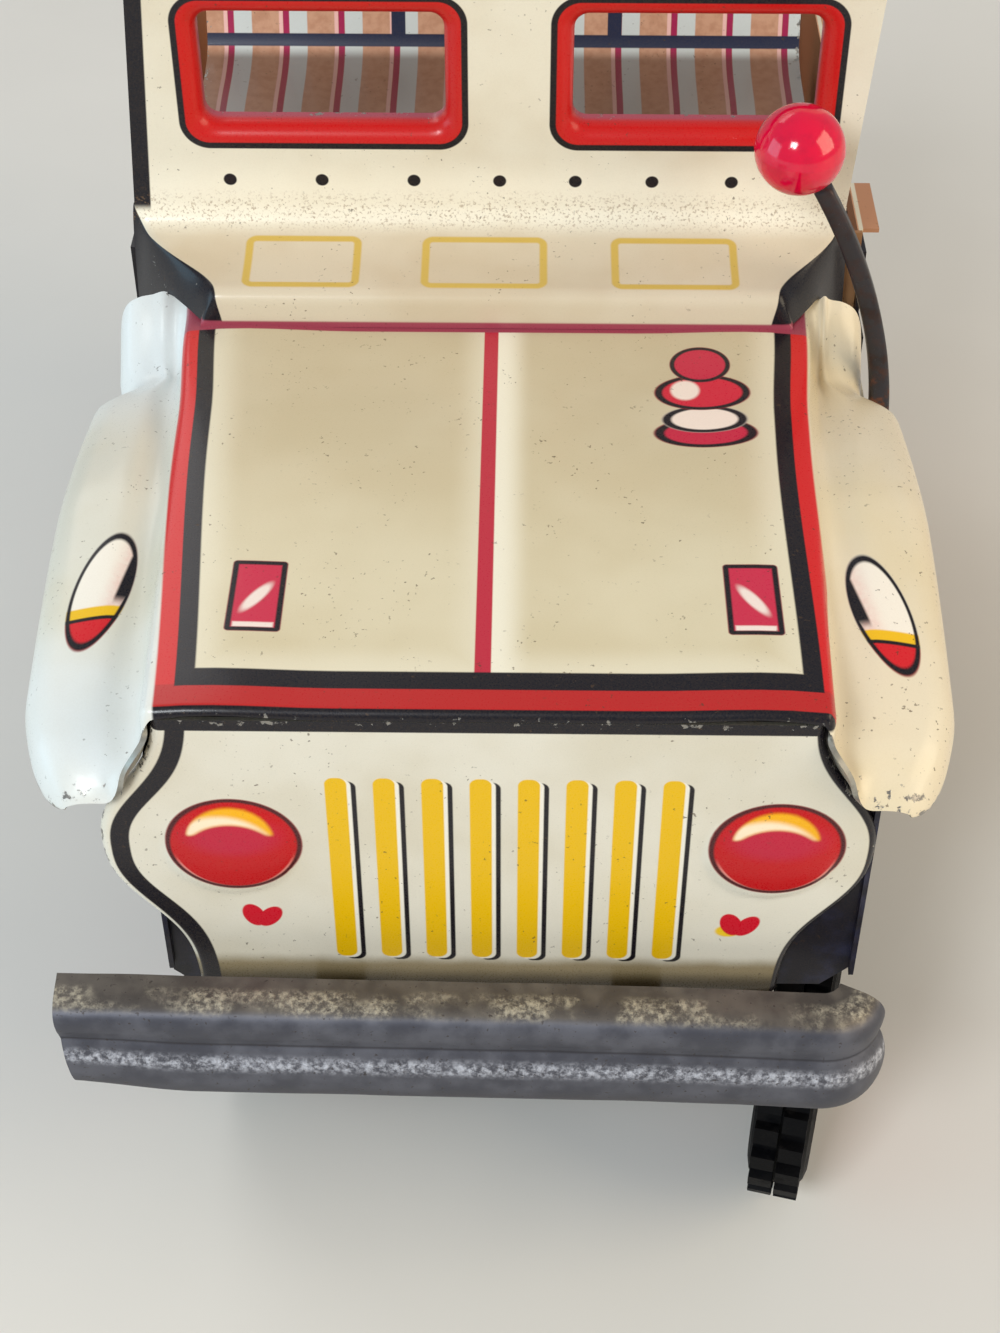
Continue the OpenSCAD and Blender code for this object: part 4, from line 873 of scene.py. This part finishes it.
def screen_print(point, x, y, z):
    """Cream with a black left edge, windows outlined in black with red lips, a row of black dots, three
    ochre frames on the shelf, black flanks, sandy dirt along the fold, and a painted highlight along and
    above the fold."""
    h = calc("SUBTRACT", z, hood_z / mm)
    v = calc("SUBTRACT", y, grille_y / mm)
    upright = ease(h, 7.0, 8.0)
    # Painted highlight along the fold and a little above it, at the windscreen's foot.
    fold_highlight = both(ease(h, 5.0, 7.5), ease(h, 9.0, 15.0, 0.75, 0.0))
    from_left = calc("SUBTRACT", x, calc("MULTIPLY", h, screen_lean))
    colour = over((228, 220, 200), (216, 204, 180), ease(grain(point, 0.06), 0.4, 0.7),
                  (184, 158, 122), ease(h, 4.6, 7.0, 0.4, 0.0), (250, 242, 222), fold_highlight,
                  print_black, both(upright, fade(from_left, -39.1, -38.9)))
    for place in (-29.4, -19.3, -9.2, 0.2, 8.5, 16.9, 25.6, 34.0):
        colour = over(colour, print_black, print_oval(x, h, (place, 11.1), (0.72, 0.72))[0])
    for side in (-1, 1):
        middle = (panel_shift + side * window_gap, window_z)
        line = print_patch(x, h, middle, window_half + 0.6, 3.2)[0]
        lip = print_patch(x, h, middle, window_half - 0.1, 2.5)[0]
        rear = ease(v, hood_len + screen_face + 1.8, hood_len + screen_face + 2.9)
        colour = over(colour, print_black, both(line, upright), (196, 24, 24), lip,
                      (168, 72, 88), both(lip, rear))
    on_shelf = fade(v, hood_len + 11.5, hood_len + 12.2)
    for left, right in ((-27.8, -15.0), (-8.3, 5.5), (12.5, 26.4)):
        ochre = print_patch(x, v, ((left + right) / 2, 66.2), ((right - left) / 2, 4.2), 1.2, 0.85, 0.15)[1]
        colour = over(colour, (206, 174, 84), both(ochre, on_shelf))
    step = both(fade(v, 60.9, 61.2), fade(h, 0.6, 0.9))
    sand = both(ease(grain(point, 3.6, 3.0), 0.52, 0.68), ease(h, 5.2, 6.4),
                fade(h, 7.6, 10.5))
    return over(colour, print_black, ease(mark(point, "flank"), 0.03, 0.1), (158, 66, 84), step,
                (140, 108, 76), both(sand, 0.6))


thicken(screen, painted_tin("printed_cowl_tin", screen_print, 0.75, 0.27))
stands_for(screen, "chassis", "windscreen_panel")

# Lever: a bent strip of dark steel riveted to the end of the lever shaft. It rises beside the cowl and
# curves inwards to the ball; oil and a little rust have settled at its foot.
arm_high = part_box("lever_arm")[1]
knob_low, knob_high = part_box("lever_knob")
lever_joint = next(row for row in frame["joints"] if row["name"] == "lever_swing")
pivot_y, pivot_z = np.array(lever_joint["pos_m"])[1:] / mm
bar_half = (1.1, 1.2)
arm_x = arm_high.x / mm - bar_half[0]
ball_r = (knob_high.x - knob_low.x) / 2 / mm
ball_x = (knob_high.x + knob_low.x) / 2 / mm
ball_h = (knob_high.z - hood_z) / mm - ball_r
bend_h = -15.0
bar_rows = 48


def bar_x(h):
    """Middle of the bar at a height against the hood: straight up, then a parabola in to the ball."""
    bow = (arm_x - ball_x) / (ball_h - bend_h) ** 2
    return arm_x - bow * np.clip(h - bend_h, 0, None) ** 2


bar_top = ball_h - ball_r + 0.6
bar_foot = pivot_z - hood_z / mm
bar_h = np.concatenate([[bar_foot] * 2, np.linspace(bar_foot, bar_top, bar_rows), [bar_top]])
bar_swell = np.concatenate([[0.0, 0.85], np.ones(bar_rows), [0.0]])[:, None]
round_turn = np.linspace(0, 2 * np.pi, 32, endpoint=False)
square_x = np.sign(np.cos(round_turn)) * np.abs(np.cos(round_turn)) ** 0.35
square_y = np.sign(np.sin(round_turn)) * np.abs(np.sin(round_turn)) ** 0.35
bar_points = np.stack([bar_x(bar_h)[:, None] + bar_swell * bar_half[0] * square_x,
                       pivot_y + bar_swell * bar_half[1] * square_y,
                       hood_z / mm + bar_h[:, None] + 0 * square_x + 0 * bar_swell], axis=-1)
hub_line = np.array([(0.0, -1.1), (2.4, -1.1), (2.6, -0.9), (2.6, 0.9), (2.4, 1.1), (0.0, 1.1)])
hub_radius, hub_out = hub_line[:, :1], hub_line[:, 1:]
hub_points = np.stack([arm_x + hub_out + 0 * round_turn, pivot_y + hub_radius * np.cos(round_turn),
                       pivot_z + hub_radius * np.sin(round_turn)], axis=-1)
lever = shell("lever_strip", bar_points * mm, hub_points * mm, closed=True, solid=True)
dark_steel, shader, point, x, y, z = finish("dark_lever_steel")
look = rubbed_metal(point, 0.7, 0.9)
foot = fade(z, hood_z / mm - 11, hood_z / mm - 2)
rust = both(ease(grain(point, 0.7, 5.0, 0.65), 0.42, 0.62), ease(foot, 0.0, 1.0, 0.15, 1.0))
colour = over((64, 62, 66), (46, 42, 42), look["Tarnish"], (104, 58, 34), rust)
feed(shader, {"Base Color": colour, "Metallic": ease(rust, 0.0, 1.0, 0.75, 0.15),
              "Roughness": calc("MULTIPLY_ADD", rust, 0.35, 0.4),
              "Normal": relief(calc("SUBTRACT", rust, look["Pits"]), 0.04 * mm)})
lever.data.materials.append(dark_steel)
stands_for(lever, "lever_body", "lever_arm")

# Knob: a ball moulded in glossy red plastic round the lever's end, with a short neck, a flat foot and a
# faint line round it where the mould closed.
ball_turn = np.radians(np.linspace(-62, 90, 60))
mould_line = 1 + 0.008 * np.exp(-((np.sin(ball_turn) / 0.03) ** 2))
ball_line = np.stack([np.cos(ball_turn), np.sin(ball_turn)], axis=-1) * ball_r * mould_line[:, None]
neck_line = np.array([(0.0, -0.9), (1.55, -0.9), (1.75, -0.93), (1.9, -0.9)]) * (1.0, ball_r)
knob_line = np.concatenate([neck_line, ball_line])
knob_circle = np.linspace(0, 2 * np.pi, 72, endpoint=False)
knob_radius, knob_height = knob_line[:, :1], knob_line[:, 1:]
knob_points = np.stack([ball_x + knob_radius * np.cos(knob_circle),
                        pivot_y + knob_radius * np.sin(knob_circle),
                        hood_z / mm + ball_h + knob_height + 0 * knob_circle], axis=-1)
knob = shell("ball_knob", knob_points * mm, closed=True, solid=True)
red_plastic, shader, point = finish("red_plastic")[:3]
haze = ease(grain(point, 0.5, 4.0), 0.45, 0.75)
scuff = ease(grain(point, 3.0, 4.0), 0.6, 0.75)
feed(shader, {"Base Color": over((216, 0, 54), (200, 0, 52), haze),
              "Roughness": calc("MULTIPLY_ADD", scuff, 0.12, 0.12), "Coat Weight": 0.2,
              "Subsurface Weight": 0.08, "Subsurface Radius": (0.002, 0.0004, 0.0004),
              "Normal": relief(scuff, 0.004 * mm)})
knob.data.materials.append(red_plastic)
stands_for(knob, "lever_body", "lever_knob")

# Bumper: a strip of bare tin rolled to a shallow ribbed section, straight on the right side of the car and
# curled back at the other end. It hangs on two straps, a little askew, and it is dull and mottled, with
# painted shade along its crease and towards its lower edge.
bumper_low, bumper_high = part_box("front_bumper")
bumper_h = 12.0
bumper_top = bumper_high.z / mm - 0.5
bumper_left = bumper_low.x / mm
bumper_end = bumper_left + 75.0
curl_radius = 7.5
straight_columns = 90
curl_columns = 24
curl_y = bumper_low.y / mm + curl_radius
rib_line = np.array([(5.3, -1.0), (6.4, -0.95), (6.9, -0.84), (7.0, -0.7), (6.85, -0.56), (6.4, -0.43),
                     (6.1, -0.37), (6.15, -0.31), (6.35, -0.22), (6.25, -0.12), (5.7, -0.06),
                     (2.0, 0.0)]) * (1.0, bumper_h)
rib_rows = spline(rib_line, 6)
rib_out, rib_z = rib_rows[:, :1], rib_rows[:, 1:]
rib_girth = np.append(0, np.cumsum(np.linalg.norm(np.diff(rib_rows, axis=0), axis=1)))[:, None]
cut_x = bumper_left + 0.6 - 1.3 * rib_z / bumper_h
straight_x = cut_x + (bumper_end - cut_x) * np.linspace(0, 1, straight_columns, endpoint=False)
curl_turn = np.radians(np.linspace(0, 72, curl_columns))
bumper_x = np.concatenate([straight_x, np.full((len(rib_z), curl_columns), bumper_end)], axis=1)
bumper_turn = np.concatenate([np.zeros(straight_columns), curl_turn])
sway = 0.08 * np.clip(np.sin(bumper_x / 7.3 + 0.4) * np.sin(bumper_x / 3.1) * np.cos(rib_z / 5.0), 0, 1)
bumper_x = bumper_x + (rib_out - sway) * np.sin(bumper_turn)
bumper_y = curl_y - (rib_out - sway) * np.cos(bumper_turn)
droop = 0.02 * (bumper_x - 5) + 0.0013 * np.clip(bumper_x - 12, 0, None) ** 2
rib_z = rib_z * (1 - 0.13 * soft_step(bumper_left + 14, bumper_left, bumper_x))
bumper_points = np.stack([bumper_x, bumper_y, bumper_top + rib_z - droop], axis=-1)
bumper = shell("ribbed_bumper", bumper_points * mm, girth=[rib_girth])
dull_tin, shader, point = finish("dull_bumper_tin")[:3]
look = rubbed_metal(point, 0.5, 0.8)
girth = mark(point, "girth")
clouds = ease(grain(point, 0.3, 4.0), 0.35, 0.7)
face = over((76, 77, 86), (100, 101, 110), clouds)
flange = over((84, 79, 76), (108, 102, 96), clouds)
mottle = grain(point, 1.5, 5.0, 0.7)
on_flange = both(stripe(girth, 13.6, 1.1, 0.5), ease(mottle, 0.38, 0.68),
                 ease(grain(point, 0.13), 0.42, 0.56))
on_ridge = both(stripe(girth, 6.2, 0.8, 0.6), ease(mottle, 0.36, 0.7))
# Painted shade: darker towards the lower edge, where the strip turns under, and a dark line in the crease.
colour = over(face, flange, ease(girth, 12.0, 12.8), (192, 184, 164), both(on_flange, 0.75),
              (206, 209, 220), both(on_ridge, 0.85), (56, 55, 62), ease(girth, 1.5, 4.0, 0.6, 0.0),
              (40, 38, 44), both(stripe(girth, 8.6, 0.25, 0.25), 0.6), (62, 56, 54), look["Pits"])
pale = calc("MAXIMUM", on_flange, on_ridge)
feed(shader, {"Base Color": colour, "Metallic": ease(pale, 0.0, 1.0, 0.6, 0.3),
              "Roughness": calc("MULTIPLY_ADD", clouds, 0.1, 0.46),
              "Normal": relief(calc("SUBTRACT", pale, look["Pits"]), 0.02 * mm)})
thicken(bumper, dull_tin, 0.5 * mm, 1.0)
stands_for(bumper, "chassis", "front_bumper")
dress(dull_tin, "bumper_stays")
